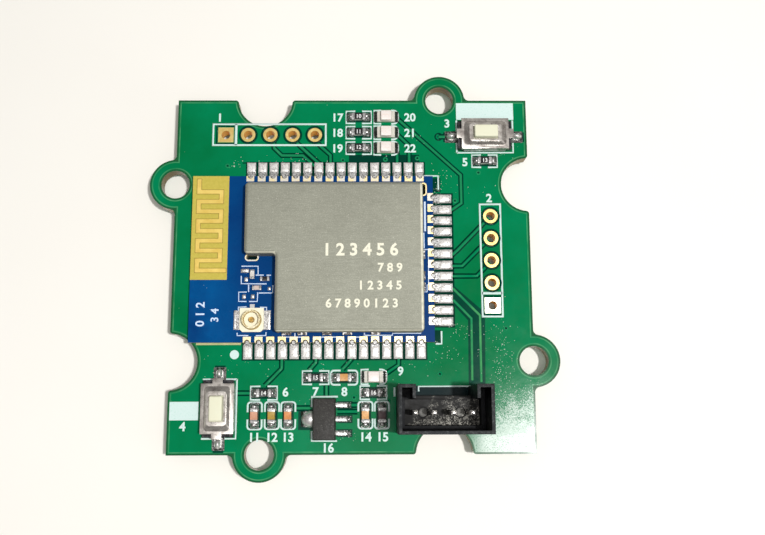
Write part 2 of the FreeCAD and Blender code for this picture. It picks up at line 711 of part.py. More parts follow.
def header_rings():
    """Plated barrels with a round land on both faces; the first hole's lands are square."""
    for name, x, y, turn in header_rows():
        body = node(new_body(name + "_rings", many=True), name + "_rings")
        barrel = new_sketch(body, name + "_barrel_outline", (x, y, 0), turn)
        circle(circle(barrel, header_drill(), "outer_"), d.header_bore, "inner_")
        made = [pad(body, name + "_barrel", barrel, d.board_thickness)]
        for face, height in (("lower", -d.copper), ("upper", carrier_top())):
            ring = new_sketch(body, name + "_" + face + "_outline", (x, y, height), turn)
            circle(circle(ring, d.header_ring, "outer_"), d.header_bore, "inner_")
            made.append(pad(body, name + "_" + face + "_ring", ring, d.copper))
        row(body, name + "_row", made, (barrel, ["H_Axis"]), header_length(), d.header_count)
        for face, height in (("lower", -d.copper), ("upper", carrier_top())):
            square = new_sketch(body, name + "_" + face + "_square", (x, y, height), turn)
            circle(rectangle(square, d.header_square, d.header_square), d.header_bore, "inner_")
            pad(body, name + "_" + face + "_square_land", square, d.copper)


# The radio module.


def module_board():
    body = node(new_body("module_board"), "module_board")
    at = (d.module_x, d.module_y, module_bottom())
    sketch = rectangle(new_sketch(body, "module_outline", at), d.module_length, d.module_width)
    pad(body, "module_plate", sketch, d.module_thickness)
    for name, x, y, turn, count, _ in contact_rows():
        start_x, start_y = row_start(x, y, turn, count)
        sketch = new_sketch(body, name + "_hollow_outline", (start_x, start_y, module_top()), turn)
        circle(sketch, (d.contact_bite + d.contact_plating) * 2)
        hollow = pocket(body, name + "_hollow", sketch, d.module_thickness)
        row(body, name + "_hollows", [hollow], (sketch, ["H_Axis"]), d.contact_pitch * (count - 1), count)
    for name, x, y, turn in can_slots():
        sketch = new_sketch(body, name + "_outline", (x, y, module_top()), turn)
        slot(sketch, d.can_slot_length, d.can_slot_width)
        pocket(body, name, sketch, d.module_thickness)
    return body


def module_contacts():
    """Plated half-round hollows with a land on both faces, and the rims of the can's two slots."""
    rows = []
    under = module_bottom() - d.contact_copper
    for name, x, y, turn, count, _ in contact_rows():
        body = new_body(name + "_contact_row", many=True)
        start_x, start_y = row_start(x, y, turn, count)
        barrel = new_sketch(body, name + "_plating_outline", (start_x, start_y, module_bottom()), turn)
        half_ring(barrel, d.contact_bite + d.contact_plating, d.contact_bite)
        made = [pad(body, name + "_plating", barrel, d.module_thickness)]
        for face, height in (("under", under), ("over", module_top())):
            land = new_sketch(body, name + "_" + face + "_outline", (start_x, start_y, height), turn)
            bitten_land(land, d.contact_width, d.contact_depth, d.contact_bite)
            made.append(pad(body, name + "_" + face + "_land", land, d.contact_copper))
        row(body, name + "_contacts", made, (barrel, ["H_Axis"]), d.contact_pitch * (count - 1), count)
        rows.append(body)
    rims = []
    for name, x, y, turn in can_slots():
        body = new_body(name + "_rim_body", many=True)
        rim = new_sketch(body, name + "_rim_outline", (x, y, module_top()), turn)
        slot(rim, d.can_slot_length + d.can_slot_ring * 2, d.can_slot_width + d.can_slot_ring * 2)
        pad(body, name + "_rim", rim, d.contact_copper)
        clear = new_sketch(body, name + "_clear_outline", (x, y, module_top() + d.contact_copper), turn)
        slot(clear, d.can_slot_length, d.can_slot_width)
        pocket(body, name + "_clear", clear, d.contact_copper)
        rims.append(body)
    group("module_contacts", rows + rims)
    return rims


def module_solder():
    """One joint for each edge contact: solder on the carrier's land that climbs into the hollow."""
    rows = []
    for name, x, y, turn, count, reach in contact_rows():
        body = new_body(name + "_solder_row", many=True)
        start_x, start_y = row_start(x, y, turn, count)
        out_x = round(-math.sin(math.radians(turn)))
        out_y = round(math.cos(math.radians(turn)))
        middle = (start_x + reach / 2 * out_x, start_y + reach / 2 * out_y, land_top())
        sketch = rectangle(new_sketch(body, name + "_bead_outline", middle, turn), d.land_width, reach)
        bead = pad(body, name + "_bead", sketch, d.joint_height, d.joint_slope)
        cone = body.newObject("PartDesign::AdditiveCone", name + "_meniscus")
        bind(cone, "Radius1", d.contact_bite)
        bind(cone, "Radius2", d.meniscus_top)
        bind(cone, "Height", d.meniscus_height)
        place(cone, start_x, start_y, land_top())
        finish(body, cone)
        row(body, name + "_joints", [bead, cone], (sketch, ["H_Axis"]), d.contact_pitch * (count - 1), count)
        rows.append(body)
    group("module_solder", rows)


def aerial():
    """Meander trace: pairs of runs joined at alternate sides, an open tail above and a feed below."""
    body = node(new_body("aerial_trace"), "aerial_trace")
    trace, span, pitch = d.aerial_trace, d.aerial_span, d.aerial_pitch
    left = d.module_x - d.module_length / 2 + d.aerial_edge
    right = left + span
    middle = left + span / 2
    first = d.module_y + d.module_width / 2 - d.aerial_top
    top = module_top()
    block(body, "tail", trace, d.aerial_tail, d.contact_copper, (left, first + d.aerial_tail / 2, top))
    run = block(body, "run_right", span + trace, trace, d.contact_copper, (middle, first, top))
    link = block(body, "link_right", trace, pitch + trace, d.contact_copper, (right, first - pitch / 2, top))
    back = block(body, "run_left", span + trace, trace, d.contact_copper, (middle, first - pitch, top))
    turn = block(body, "link_left", trace, pitch + trace, d.contact_copper,
                 (left, first - pitch * 1.5, top))
    made = row(body, "runs", [run, link, back, turn], (origin_part(body, "Y_Axis"), [""]),
               pitch * 2 * (d.aerial_turns - 1), d.aerial_turns)
    made.Reversed = True
    last = first - pitch * 2 * d.aerial_turns
    feed = span + trace + d.aerial_edge - trace / 2
    block(body, "feed", feed, trace, d.contact_copper, (left - trace / 2 + feed / 2, last, top))
    return body


def can_walls():
    """The outside of the can's walls: left, right, far and near."""
    half_length, half_width = d.module_length / 2, d.module_width / 2
    return (d.module_x - half_length + d.can_left_margin, d.module_x + half_length - d.can_right_margin,
            d.module_y + half_width - d.can_far_margin, d.module_y - half_width + d.can_near_margin)


def step_corner():
    """The inner corner of the step in the can's outline."""
    left, _, _, near = can_walls()
    return left + d.can_step_x, near + d.can_step_y


def can_slots():
    """Slots for the can's two soldered legs, half under its walls: name, place and turn."""
    left, right, far, _ = can_walls()
    _, step_y = step_corner()
    return [
        ("leg_slot_right", right + d.can_slot_shift, far - d.right_slot_margin, 90),
        ("leg_slot_step", left + d.step_slot_margin, step_y - d.can_slot_shift, 0),
    ]


def shield_can(rims):
    """Drawn sheet cover with a stepped outline, open below, with windows in two of its walls."""
    body = new_body("shield_can_solid")
    left, right, far, near = can_walls()
    step_x, step_y = step_corner()
    base, top = module_top(), module_top() + d.can_height
    span_block(body, "can_block", left, right, near, far, base, d.can_height)
    stepped = span_pocket(body, "can_step", left, step_x, near, step_y, top, d.can_height)
    corners = dress(body, "Fillet", "can_corners", stepped, upright, d.can_bend)
    dress(body, "Fillet", "can_shoulder", corners, lambda edge: at_height(edge, top.value), d.can_bend)
    sheet, depth = d.can_sheet, d.can_height - d.can_sheet
    span_pocket(body, "can_inside_far", left + sheet, right - sheet, step_y + sheet, far - sheet,
                base + depth, depth)
    span_pocket(body, "can_inside_right", step_x + sheet, right - sheet, near + sheet, far - sheet,
                base + depth, depth)
    front = step_x + d.can_front_window_shift
    span_pocket(body, "front_window", front, front + d.can_front_window, near - sheet, near + sheet * 2,
                base + d.can_window_height, d.can_window_height)
    side = (near + far) / 2 + d.can_side_window_shift
    span_pocket(body, "side_window", right - sheet * 2, right + sheet, side - d.can_side_window / 2,
                side + d.can_side_window / 2, base + d.can_window_height, d.can_window_height)
    seats = DOC.addObject("Part::Compound", "slot_rims")
    seats.Links = rims
    seated("shield_can", body, seats)


def span_outline(body, name, left, right, near, far, height):
    """A sketched rectangle between two distances along X and two along Y."""
    at = ((left + right) / 2, (near + far) / 2, height)
    return rectangle(new_sketch(body, name + "_outline", at), right - left, far - near)


def span_block(body, name, left, right, near, far, height, thickness):
    return pad(body, name, span_outline(body, name, left, right, near, far, height), thickness)


def span_pocket(body, name, left, right, near, far, height, depth):
    return pocket(body, name, span_outline(body, name, left, right, near, far, height), depth)


def coax_place():
    """Middle of the coaxial receptacle, in the can's step beside the near edge contacts."""
    step_x, _ = step_corner()
    near = d.module_y - d.module_width / 2
    reach = d.coax_side / 2
    return step_x - d.coax_gap_side - d.coax_tab - reach, near + d.contact_depth + d.coax_gap_near + reach


def coax_receptacle():
    """Insulator with a low foot, a sprung collar with ground tabs, and the centre pin with its tab."""
    x, y = coax_place()
    base = module_top()
    insulator = new_body("coax_insulator_solid")
    sketch = rectangle(new_sketch(insulator, "coax_foot_outline", (x, y, base)), d.coax_side, d.coax_side)
    foot = pad(insulator, "coax_foot_block", sketch, d.coax_foot)
    near = y.value - d.coax_side.value / 2
    dress(insulator, "Chamfer", "coax_foot_corners", foot,
          lambda edge: upright(edge) and abs(edge.BoundBox.YMin - near) < CLOSE, d.coax_corner)

    shell = node(new_body("coax_shell"), "coax_shell")
    ring = new_sketch(shell, "collar_outline", (x, y, base))
    circle(circle(ring, d.coax_collar, "outer_"), d.coax_collar - d.coax_wall * 2, "inner_")
    pad(shell, "collar", ring, d.coax_height)
    side = d.coax_side / 2
    length = side + d.coax_tab - d.coax_collar / 2 + d.coax_wall / 2
    for name, hand in (("left", -1), ("right", 1)):
        middle = x + (side + d.coax_tab - length / 2) * hand
        block(shell, name + "_ground_tab", length, d.coax_tab_width, d.coax_wall, (middle, y, base))
    gate_at = (x, y + d.coax_collar / 2, base + d.coax_wall * 2)
    gate = new_sketch(shell, "gate_outline", gate_at)
    rectangle(gate, d.coax_pin_bore + d.coax_wall * 2, d.coax_gate)
    pocket(shell, "signal_gate", gate, d.coax_wall * 2)

    pin = node(new_body("coax_pin"), "coax_pin")
    sketch = circle(new_sketch(pin, "coax_pin_outline", (x, y, base)), d.coax_pin_bore)
    pad(pin, "coax_pin_post", sketch, d.coax_pin_height)
    reach = side + d.coax_tab
    block(pin, "coax_signal_tab", d.coax_pin_bore, reach, d.coax_wall, (x, y + reach / 2, base))
    metal = DOC.addObject("Part::Fuse", "coax_metal")
    metal.Base = shell
    metal.Tool = pin
    return seated("coax_insulator", insulator, metal)


# Chip parts.


def chip(label, x, y, z, turn, length, width, height, end):
    """A block with an end cap at each end, slightly proud of it."""
    body = new_body(label)
    skin = d.chip_end_skin
    block(body, label + "_block", length - skin * 2, width - skin * 2, height - skin * 2, (0, 0, skin))
    for name, hand in (("_left_end", -1), ("_right_end", 1)):
        block(body, label + name, end, width, height, ((length - end) / 2 * hand, 0, 0))
    return place(body, x, y, z, turn)


def chip_lands_and_joints(label, x, y, turn, size, land, land_width):
    """Carrier lands under a chip's ends and the solder that climbs them; size is its length and width."""
    lands, joints = [], []
    length, width = size
    outer = length / 2 + land
    inner = length / 2 - d.chip_land_under
    body = new_body(label + "_lands", many=True)
    for name, hand in (("left", -1), ("right", 1)):
        block(body, label + "_" + name + "_land", outer - inner, land_width, d.copper,
              ((outer + inner) / 2 * hand, 0, 0))
        ramp = DOC.addObject("Part::Wedge", label + "_" + name + "_joint")
        solder_ramp(ramp, length / 2, land * d.chip_joint_share, width, d.chip_joint_rise)
        joints.append(place(ramp, x, y, land_top(), turn + (180 if hand < 0 else 0), 90))
    lands.append(place(body, x, y, carrier_top(), turn))
    return lands, joints


def solder_ramp(ramp, start, reach, width, rise):
    """A wedge of solder: full reach at its foot and a thin edge at its top, against x = start."""
    crest = reach / 6
    sizes = {
        "Xmin": start, "Xmax": start + reach, "X2min": start, "X2max": start + crest,
        "Ymin": 0, "Ymax": rise,
        "Zmin": -width / 2, "Zmax": width / 2, "Z2min": -width / 2 + crest, "Z2max": width / 2 - crest,
    }
    for path, size in sizes.items():
        bind(ramp, path, size)


def light(label, x, y, turn):
    """A light chip: its plate with end contacts, and the lens on it."""
    plate = new_body(label + "_plate")
    skin = d.chip_end_skin
    block(plate, label + "_plate_block", d.light_length - skin * 2, d.light_width, d.light_base - skin,
          (0, 0, skin))
    for name, hand in (("_left_end", -1), ("_right_end", 1)):
        block(plate, label + name, d.light_end, d.light_width, d.light_base,
              ((d.light_length - d.light_end) / 2 * hand, 0, 0))
    place(node(plate, label + "_plate"), x, y, land_top(), turn)
    lens = new_body(label + "_lens")
    outline = rectangle(new_sketch(lens, label + "_lens_outline"), d.light_lens_length, d.light_width)
    pad(lens, label + "_lens_block", outline, d.light_lens, d.light_lens_slope)
    place(node(lens, label + "_lens"), x, y, land_top() + d.light_base, turn)


def carrier_chips():
    """All chip parts of the carrier. Returns their lands and joints."""
    lands, joints = [], []
    for parts, height in ((RESISTORS, d.resistor_height), (CAPACITORS, d.capacitor_height)):
        for label, x, y, turn in parts:
            body = chip(label, x, y, land_top(), turn, d.chip_length, d.chip_width, height, d.chip_end)
            node(body, label)
    for label, x, y, turn in LIGHTS:
        light(label, x, y, turn)
    chip_size, light_size = (d.chip_length, d.chip_width), (d.light_length, d.light_width)
    for parts, size, land, land_width in (
            (RESISTORS + CAPACITORS, chip_size, d.chip_land, d.chip_land_width),
            (LIGHTS, light_size, d.light_land, d.light_land_width)):
        for label, x, y, turn in parts:
            more_lands, more_joints = chip_lands_and_joints(label, x, y, turn, size, land, land_width)
            lands += more_lands
            joints += more_joints
    return lands, joints


def small_chip(label, x, y, turn):
    return chip(label, x, y, module_top(), turn,
                d.small_chip_length, d.small_chip_width, d.small_chip_height, d.small_chip_end)


def module_chips():
    """The module's small chips in sight: beside the receptacle, and half under the can's walls."""
    _, right, far, near = can_walls()
    step_x, step_y = step_corner()
    for label, x, y, turn in MATCHING_CHIPS:
        node(small_chip(label, step_x + x, step_y + y, turn), label)
    chips = [small_chip("near_wall_chip", step_x + along, near, 0) for along in NEAR_WALL_CHIPS]
    middle = (near + far) / 2
    chips += [small_chip("right_wall_chip", right, middle + along, 90) for along in RIGHT_WALL_CHIPS]
    group("rim_chips", chips)


def under_the_can():
    """The pieces that the can hides, laid out from its right and far walls."""
    _, right, far, _ = can_walls()
    gap, half = d.part_gap, d.radio_side / 2
    coil_x = right - d.can_sheet - d.wall_gap - d.coil_width / 2
    radio_x = coil_x - d.coil_width / 2 - gap - half
    radio_y = far - d.can_sheet - d.wall_gap - d.small_chip_length - gap - half
    radio_chip(radio_x, radio_y)
    coils = [coil(coil_x, radio_y + (d.coil_length + gap) * steps, 90) for steps in (0.5, -0.5, -1.5)]
    group("power_inductors", coils)
    below, left = radio_y - half - gap, radio_x - half
    plain_chip("memory_chip", left + d.memory_length / 2, below - d.memory_width / 2, 0,
               d.memory_length, d.memory_width, d.memory_height)
    crystal("slow_crystal", left + d.radio_side - d.crystal_length / 2, below - d.watch_crystal_width / 2, 0,
            d.watch_crystal_width)
    beside = left - gap - d.crystal_width / 2
    crystal("main_crystal", beside, radio_y + half - d.crystal_length / 2, 90, d.crystal_width)
    lower = radio_y + half - d.crystal_length - gap
    plain_chip("band_filter", beside, lower - d.filter_length / 2, 90,
               d.filter_length, d.filter_width, d.filter_height)
    above = radio_y + half + gap + d.small_chip_length / 2
    first = radio_x - d.bypass_pitch * (d.bypass_count - 1) / 2
    chips = [small_chip("bypass_chip", first + d.bypass_pitch * step, above, 90)
             for step in range(int(d.bypass_count.value))]
    between = left + d.memory_length + (d.radio_side - d.memory_length - d.crystal_length) / 2
    for hand in (-1, 1):
        chips.append(small_chip("bypass_chip", between + d.bypass_pitch / 2 * hand,
                                below - d.small_chip_length / 2, 90))
    group("module_bypass_capacitors", chips)


def radio_chip(x, y):
    """Flat moulded chip with a chamfered top and a round mark at its first contact."""
    body = plain_chip("radio_chip", x, y, 0, d.radio_side, d.radio_side, d.radio_height)
    mark_at = (d.radio_side / 2 - d.radio_mark * 2, d.radio_side / 2 - d.radio_mark * 2, d.radio_height)
    mark = circle(new_sketch(body, "radio_mark_outline", mark_at), d.radio_mark)
    pocket(body, "radio_mark_dent", mark, d.radio_mark_depth)


def plain_chip(label, x, y, turn, length, width, height):
    """A flat moulded chip with a chamfered top."""
    body = place(node(new_body(label), label), x, y, module_top(), turn)
    whole = block(body, label + "_block", length, width, height, (0, 0, 0))
    dress(body, "Chamfer", label + "_edge", whole,
          lambda edge: at_height(edge, height.value), d.radio_chamfer)
    return body


def crystal(label, x, y, turn, width):
    """A metal lid on a slightly larger foot."""
    body = place(node(new_body(label), label), x, y, module_top(), turn)
    inset = d.crystal_lid_inset * 2
    block(body, label + "_foot", d.crystal_length, width, d.crystal_foot, (0, 0, 0))
    block(body, label + "_lid", d.crystal_length - inset, width - inset, d.crystal_height, (0, 0, 0))


def coil(x, y, turn):
    """A moulded power inductor with rounded upright edges."""
    body = new_body("coil")
    whole = block(body, "coil_block", d.coil_length, d.coil_width, d.coil_height, (0, 0, 0))
    dress(body, "Fillet", "coil_edges", whole, upright, d.coil_round)
    return place(body, x, y, module_top(), turn)


# The press switches.


def switch(name, x, y, turn):
    """A low press switch: base, cover, button, snap dome and two terminals."""
    base_z = land_top()

    terminals = new_body(name + "_switch_terminals", many=True)
    length = d.terminal_reach - d.terminal_root
    for side, hand in (("left", -1), ("right", 1)):
        middle = (d.terminal_reach + d.terminal_root) / 2 * hand
        blade = block(terminals, name + "_" + side + "_blade", length, d.terminal_width, d.terminal_sheet,
                      (middle, 0, 0))
        tip = d.terminal_reach.value * hand
        dress(terminals, "Fillet", name + "_" + side + "_tip", blade,
              lambda edge: upright(edge) and abs(edge.BoundBox.XMin - tip) < CLOSE, d.terminal_round)
        block(terminals, name + "_" + side + "_riser", d.terminal_sheet * 2, d.terminal_width,
              d.switch_floor,
              ((d.terminal_root + d.terminal_sheet) * hand, 0, 0))
    place(node(terminals, name + "_switch_terminals"), x, y, base_z, turn)

    base = new_body(name + "_base_solid")
    block(base, name + "_base_block", d.switch_length, d.switch_width, d.switch_base_height, (0, 0, 0))
    well = circle(new_sketch(base, name + "_well_outline", (0, 0, d.switch_base_height)), d.switch_well)
    pocket(base, name + "_well", well, d.switch_base_height - d.switch_floor)
    place(base, x, y, base_z, turn)
    seated(name + "_switch_base", base, terminals)

    dome = dome_body(name)
    place(node(dome, name + "_switch_dome"), x, y, base_z + d.switch_floor, turn)
    place(node(cover_body(name), name + "_switch_cover"), x, y, base_z, turn)
    place(node(button_body(name), name + "_switch_button"), x, y, base_z, turn)


def cover_body(name):
    """Folded sheet cover: a flat deck with a drawn crown round the button, and two long skirts."""
    body = new_body(name + "_switch_cover")
    sheet = d.cover_sheet
    outer_width = d.switch_width + (d.cover_gap + sheet) * 2
    deck, crown = d.cover_deck, d.cover_crown
    top_length = flange_size(d.button_length) + (d.crown_end_space + sheet) * 2
    top_width = flange_size(d.button_width) + (d.crown_side_space + sheet) * 2
    foot_length, foot_width = top_length + d.crown_end_slope * 2, top_width + d.crown_side_slope * 2
    skirt = new_sketch(body, name + "_cover_outline", (0, 0, d.cover_skirt))
    rectangle(skirt, d.cover_length, outer_width)
    pad(body, name + "_cover_block", skirt, deck - d.cover_skirt)
    loft(body, "AdditiveLoft", name + "_crown", [
        (deck, foot_length, foot_width, d.crown_round),
        (crown, top_length, top_width, d.crown_round),
    ])
    inside = rectangle(new_sketch(body, name + "_inside_outline", (0, 0, deck - sheet)),
                       d.cover_length - sheet * 2, outer_width - sheet * 2)
    pocket(body, name + "_inside", inside, deck - sheet - d.cover_skirt)
    loft(body, "SubtractiveLoft", name + "_crown_inside", [
        (deck - sheet, foot_length - sheet * 2, foot_width - sheet * 2, d.crown_round - sheet),
        (crown - sheet, top_length - sheet * 2, top_width - sheet * 2, d.crown_round - sheet),
    ])
    opening = rectangle(new_sketch(body, name + "_opening_outline", (0, 0, crown)),
                        d.button_length + d.button_gap * 2, d.button_width + d.button_gap * 2)
    pocket(body, name + "_opening", opening, sheet * 2)
    for side, hand in (("left", -1), ("right", 1)):
        at = (d.cover_length / 2 * hand, 0, d.switch_base_height + d.cover_gap)
        end = new_sketch(body, name + "_" + side + "_end_outline", at)
        rectangle(end, sheet * 4, outer_width * 2)
        pocket(body, name + "_" + side + "_end_cut", end, d.switch_base_height)
    reach = d.switch_length / 2 + d.cover_gap + sheet
    tongue = reach - d.cover_length / 2 + sheet
    for side, hand in (("left", -1), ("right", 1)):
        block(body, name + "_" + side + "_clip_top", tongue, d.clip_width, sheet,
              ((reach - tongue / 2) * hand, 0, deck - sheet))
        block(body, name + "_" + side + "_clip_leg", sheet, d.clip_width, deck - d.clip_foot,
              ((reach - sheet / 2) * hand, 0, d.clip_foot))
    return body


def loft(body, kind, name, sections):
    """A loft between round-cornered rectangles at the given heights."""
    sketches = []
    for number, (height, length, width, radius) in enumerate(sections, 1):
        sketch = new_sketch(body, "%s_section_%d" % (name, number), (0, 0, height))
        sketches.append(rounded_rectangle(sketch, length, width, radius))
    made = body.newObject("PartDesign::" + kind, name)
    made.Profile = sketches[0]
    made.Sections = sketches[1:]
    made.Ruled = True
    body.Tip = made
    return made


def flange_size(size):
    """Length or width of the button's flange, from that of the button."""
    return size + (d.button_gap + d.flange_overlap) * 2


def button_body(name):
    """Button that passes through the cover, held by its flange, with a plunger over the dome."""
    body = new_body(name + "_switch_button")
    flange_top = d.cover_crown - d.cover_sheet - d.button_gap
    flange_bottom = flange_top - d.flange_height
    stem = block(body, name + "_stem", d.button_length, d.button_width, d.button_top - flange_bottom,
                 (0, 0, flange_bottom))
    dress(body, "Fillet", name + "_stem_round", stem,
          lambda edge: upright(edge) or at_height(edge, d.button_top.value), d.button_round)
    block(body, name + "_flange", flange_size(d.button_length), flange_size(d.button_width), d.flange_height,
          (0, 0, flange_bottom))
    plunger_bottom = d.switch_floor + d.dome_rise + d.button_gap / 2
    sketch = circle(new_sketch(body, name + "_plunger_outline", (0, 0, plunger_bottom)), d.plunger_bore)
    pad(body, name + "_plunger", sketch, flange_bottom - plunger_bottom)
    return body


def dome_body(name):
    """Snap dome: a shallow spherical cap of thin sheet, made as one cap less another."""
    body = DOC.addObject("Part::Cut", name + "_switch_dome")
    rise, reach = d.dome_rise, d.dome_bore / 2
    radius = (reach * reach + rise * rise) / (rise * 2)
    caps = []
    for label, size in (("outer", radius), ("inner", radius - d.dome_sheet)):
        ball = DOC.addObject("Part::Sphere", name + "_dome_" + label)
        bind(ball, "Radius", size)
        place(ball, 0, 0, rise - radius)
        caps.append(ball)
    shell = DOC.addObject("Part::Cut", name + "_dome_shell")
    shell.Base, shell.Tool = caps
    below = DOC.addObject("Part::Box", name + "_dome_below")
    for path, size in (("Length", radius * 4), ("Width", radius * 4), ("Height", radius * 4)):
        bind(below, path, size)
    place(below, -radius * 2, -radius * 2, -radius * 4)
    body.Base = shell
    body.Tool = below
    return body


def switch_lands(name, x, y, turn):
    """Carrier lands and solder of a switch's two terminals."""
    body = new_body(name + "_switch_lands", many=True)
    joints = []
    for side, hand in (("left", -1), ("right", 1)):
        block(body, name + "_" + side + "_land", d.terminal_land_length, d.terminal_land_width, d.copper,
              ((d.terminal_reach - d.terminal_land_length / 3) * hand, 0, 0))
        ramp = DOC.addObject("Part::Wedge", name + "_" + side + "_terminal_joint")
        solder_ramp(ramp, d.terminal_reach, d.terminal_land_length / 8, d.terminal_width, d.terminal_sheet)
        joints.append(place(ramp, x, y, land_top(), turn + (180 if hand < 0 else 0), 90))
    return [place(body, x, y, carrier_top(), turn)], joints


# The regulator.


def regulator():
    """Moulded body on its lead frame: a wide tab on one side and three leads on the other."""
    x, y, base = d.regulator_x, d.regulator_y, land_top()
    frame = node(new_body("regulator_leads", many=True), "regulator_leads")
    half = d.regulator_width / 2
    under = d.regulator_width / 3
    length = under + d.tab_reach
    block(frame, "regulator_tab", length, d.tab_width, d.lead_sheet,
          (x - half - d.tab_reach + length / 2, y, base))
    for number, step in enumerate((-1, 0, 1), 1):
        length = d.lead_reach + (under if step else d.regulator_width)
        block(frame, "regulator_lead_%d" % number, length, d.lead_width, d.lead_sheet,
              (x + half + d.lead_reach - length / 2, y + d.lead_pitch * step, base))

    body = new_body("regulator_solid")
    skirt = new_sketch(body, "regulator_outline", (x, y, base))
    rectangle(skirt, d.regulator_width, d.regulator_length)
    pad(body, "regulator_skirt", skirt, d.regulator_seam)
    crown = rectangle(new_sketch(body, "regulator_crown_outline", (x, y, base + d.regulator_seam)),
                      d.regulator_width, d.regulator_length)
    pad(body, "regulator_crown", crown, d.regulator_height - d.regulator_seam, d.regulator_taper)
    seated("regulator_body", body, frame)

    lands = new_body("regulator_lands", many=True)
    joints = []
    top = carrier_top()
    length = d.tab_reach + d.chip_joint_reach * 2
    block(lands, "regulator_tab_land", length, d.tab_width, d.copper,
          (x - half - length / 2 + d.chip_joint_reach, y, top))
    ramp = DOC.addObject("Part::Wedge", "regulator_tab_joint")
    solder_ramp(ramp, half + d.tab_reach, d.chip_joint_reach, d.tab_width, d.lead_sheet)
    joints.append(place(ramp, x, y, base, 180, 90))
    length = d.lead_reach + d.chip_joint_reach * 2
    for number, step in enumerate((-1, 0, 1), 1):
        spot_y = y + d.lead_pitch * step
        block(lands, "regulator_lead_land_%d" % number, length, d.lead_land_width, d.copper,
              (x + half + length / 2 - d.chip_joint_reach, spot_y, top))
        ramp = DOC.addObject("Part::Wedge", "regulator_lead_joint_%d" % number)
        solder_ramp(ramp, half + d.lead_reach, d.chip_joint_reach, d.lead_width, d.lead_sheet)
        joints.append(place(ramp, x, spot_y, base, 0, 90))
    return [lands], joints


# The socket.


def first_pin():
    return d.socket_x - d.pin_pitch * (d.pin_count - 1) / 2, d.socket_y + d.pin_shift


def socket():
    """Shrouded housing with a latch recess in its far wall, and square pins with soldered tails."""
    x, y, base = d.socket_x, d.socket_y, carrier_top()
    wall, width = d.socket_wall, d.socket_width
    top = base + d.socket_height
    far, near = y + width / 2, y - width / 2

    pins = node(new_body("socket_pins", many=True), "socket_pins")
    pin_x, pin_y = first_pin()
    shaft = rectangle(new_sketch(pins, "pin_outline", (pin_x, pin_y, -d.pin_tail)), d.pin_side, d.pin_side)
    made = pad(pins, "pin_shaft", shaft, d.pin_tail + base + d.pin_height)
    pin_end = (base + d.pin_height).value
    ends = dress(pins, "Chamfer", "pin_ends", made,
                 lambda edge: any(at_height(edge, end) for end in (-d.pin_tail.value, pin_end)), d.pin_tip)
    row(pins, "pin_row", [made, ends], (shaft, ["H_Axis"]), d.pin_pitch * (d.pin_count - 1), d.pin_count)

    shell = new_body("socket_solid")
    outline = rectangle(new_sketch(shell, "socket_outline", (x, y, base)), d.socket_length, width)
    pad(shell, "socket_block", outline, d.socket_height)
    recess_at = (x, far - d.latch_depth / 2, top)
    recess = rectangle(new_sketch(shell, "latch_recess_outline", recess_at), d.latch_width, d.latch_depth)
    pocket(shell, "latch_recess", recess, d.socket_height)
    inner_far = far - d.latch_depth - wall
    cavity_depth = d.socket_height - d.socket_floor
    cavity_width = inner_far - near - wall
    cavity_at = (x, near + wall + cavity_width / 2, top)
    cavity = new_sketch(shell, "cavity_outline", cavity_at)
    rectangle(cavity, d.socket_length - wall * 2, cavity_width)
    upper_depth = d.socket_height - d.ledge_height
    pocket(shell, "cavity", cavity, upper_depth)
    lower_width = cavity_width - d.socket_ledge
    lower_at = (x, inner_far - lower_width / 2, top)
    lower = new_sketch(shell, "lower_cavity_outline", lower_at)
    rectangle(lower, d.socket_length - (wall + d.socket_ledge) * 2, lower_width)
    pocket(shell, "lower_cavity", lower, cavity_depth)
    ear = (d.socket_length - d.latch_width) / 2 - wall - d.latch_web
    ear_width = far - wall - inner_far
    for side, hand in (("left", -1), ("right", 1)):
        at = (x + (d.socket_length / 2 - wall - ear / 2) * hand, far - wall - ear_width / 2, top)
        sketch = rectangle(new_sketch(shell, side + "_ear_outline", at), ear, ear_width)
        pocket(shell, side + "_ear", sketch, upper_depth)
    sill_at = (x, far - d.latch_depth - wall / 2, top)
    sill = rectangle(new_sketch(shell, "sill_outline", sill_at), d.latch_width, wall)
    pocket(shell, "sill", sill, d.socket_height - d.latch_sill)
    mark = new_sketch(shell, "ejector_mark_outline", (pin_x + d.pin_pitch / 2, pin_y, base + d.socket_floor))
    circle(mark, d.ejector_mark)
    dent = pocket(shell, "ejector_mark_dent", mark, d.ejector_depth)
    row(shell, "ejector_marks", [dent], (mark, ["H_Axis"]), d.pin_pitch * (d.pin_count - 2), 2)
    seated("socket_housing", shell, pins)

    joints = []
    for number in range(int(d.pin_count.value)):
        cone = DOC.addObject("Part::Cone", "pin_cone_%d" % (number + 1))
        bind(cone, "Radius1", d.pin_cone_top)
        bind(cone, "Radius2", d.pin_cone_foot)
        bind(cone, "Height", d.pin_cone_height)
        place(cone, pin_x + d.pin_pitch * number, pin_y, -d.pin_cone_height)
        clear = DOC.addObject("Part::Cut", "pin_joint_%d" % (number + 1))
        clear.Base = cone
        clear.Tool = pins
        joints.append(clear)
    return joints


def module_lands():
    """Carrier lands under the module's edge contacts, one body for each row."""
    rows = []
    for name, x, y, turn, count, reach in contact_rows():
        body = new_body(name + "_land_row", many=True)
        start_x, start_y = row_start(x, y, turn, count)
        length = reach + d.contact_depth
        shift = (reach - d.contact_depth) / 2
        out_x = round(-math.sin(math.radians(turn)))
        out_y = round(math.cos(math.radians(turn)))
        at = (start_x + shift * out_x, start_y + shift * out_y, carrier_top())
        sketch = rectangle(new_sketch(body, name + "_land_outline", at, turn), d.land_width, length)
        land = pad(body, name + "_land", sketch, d.copper)
        row(body, name + "_lands", [land], (sketch, ["H_Axis"]), d.contact_pitch * (count - 1), count)
        rows.append(body)
    return rows


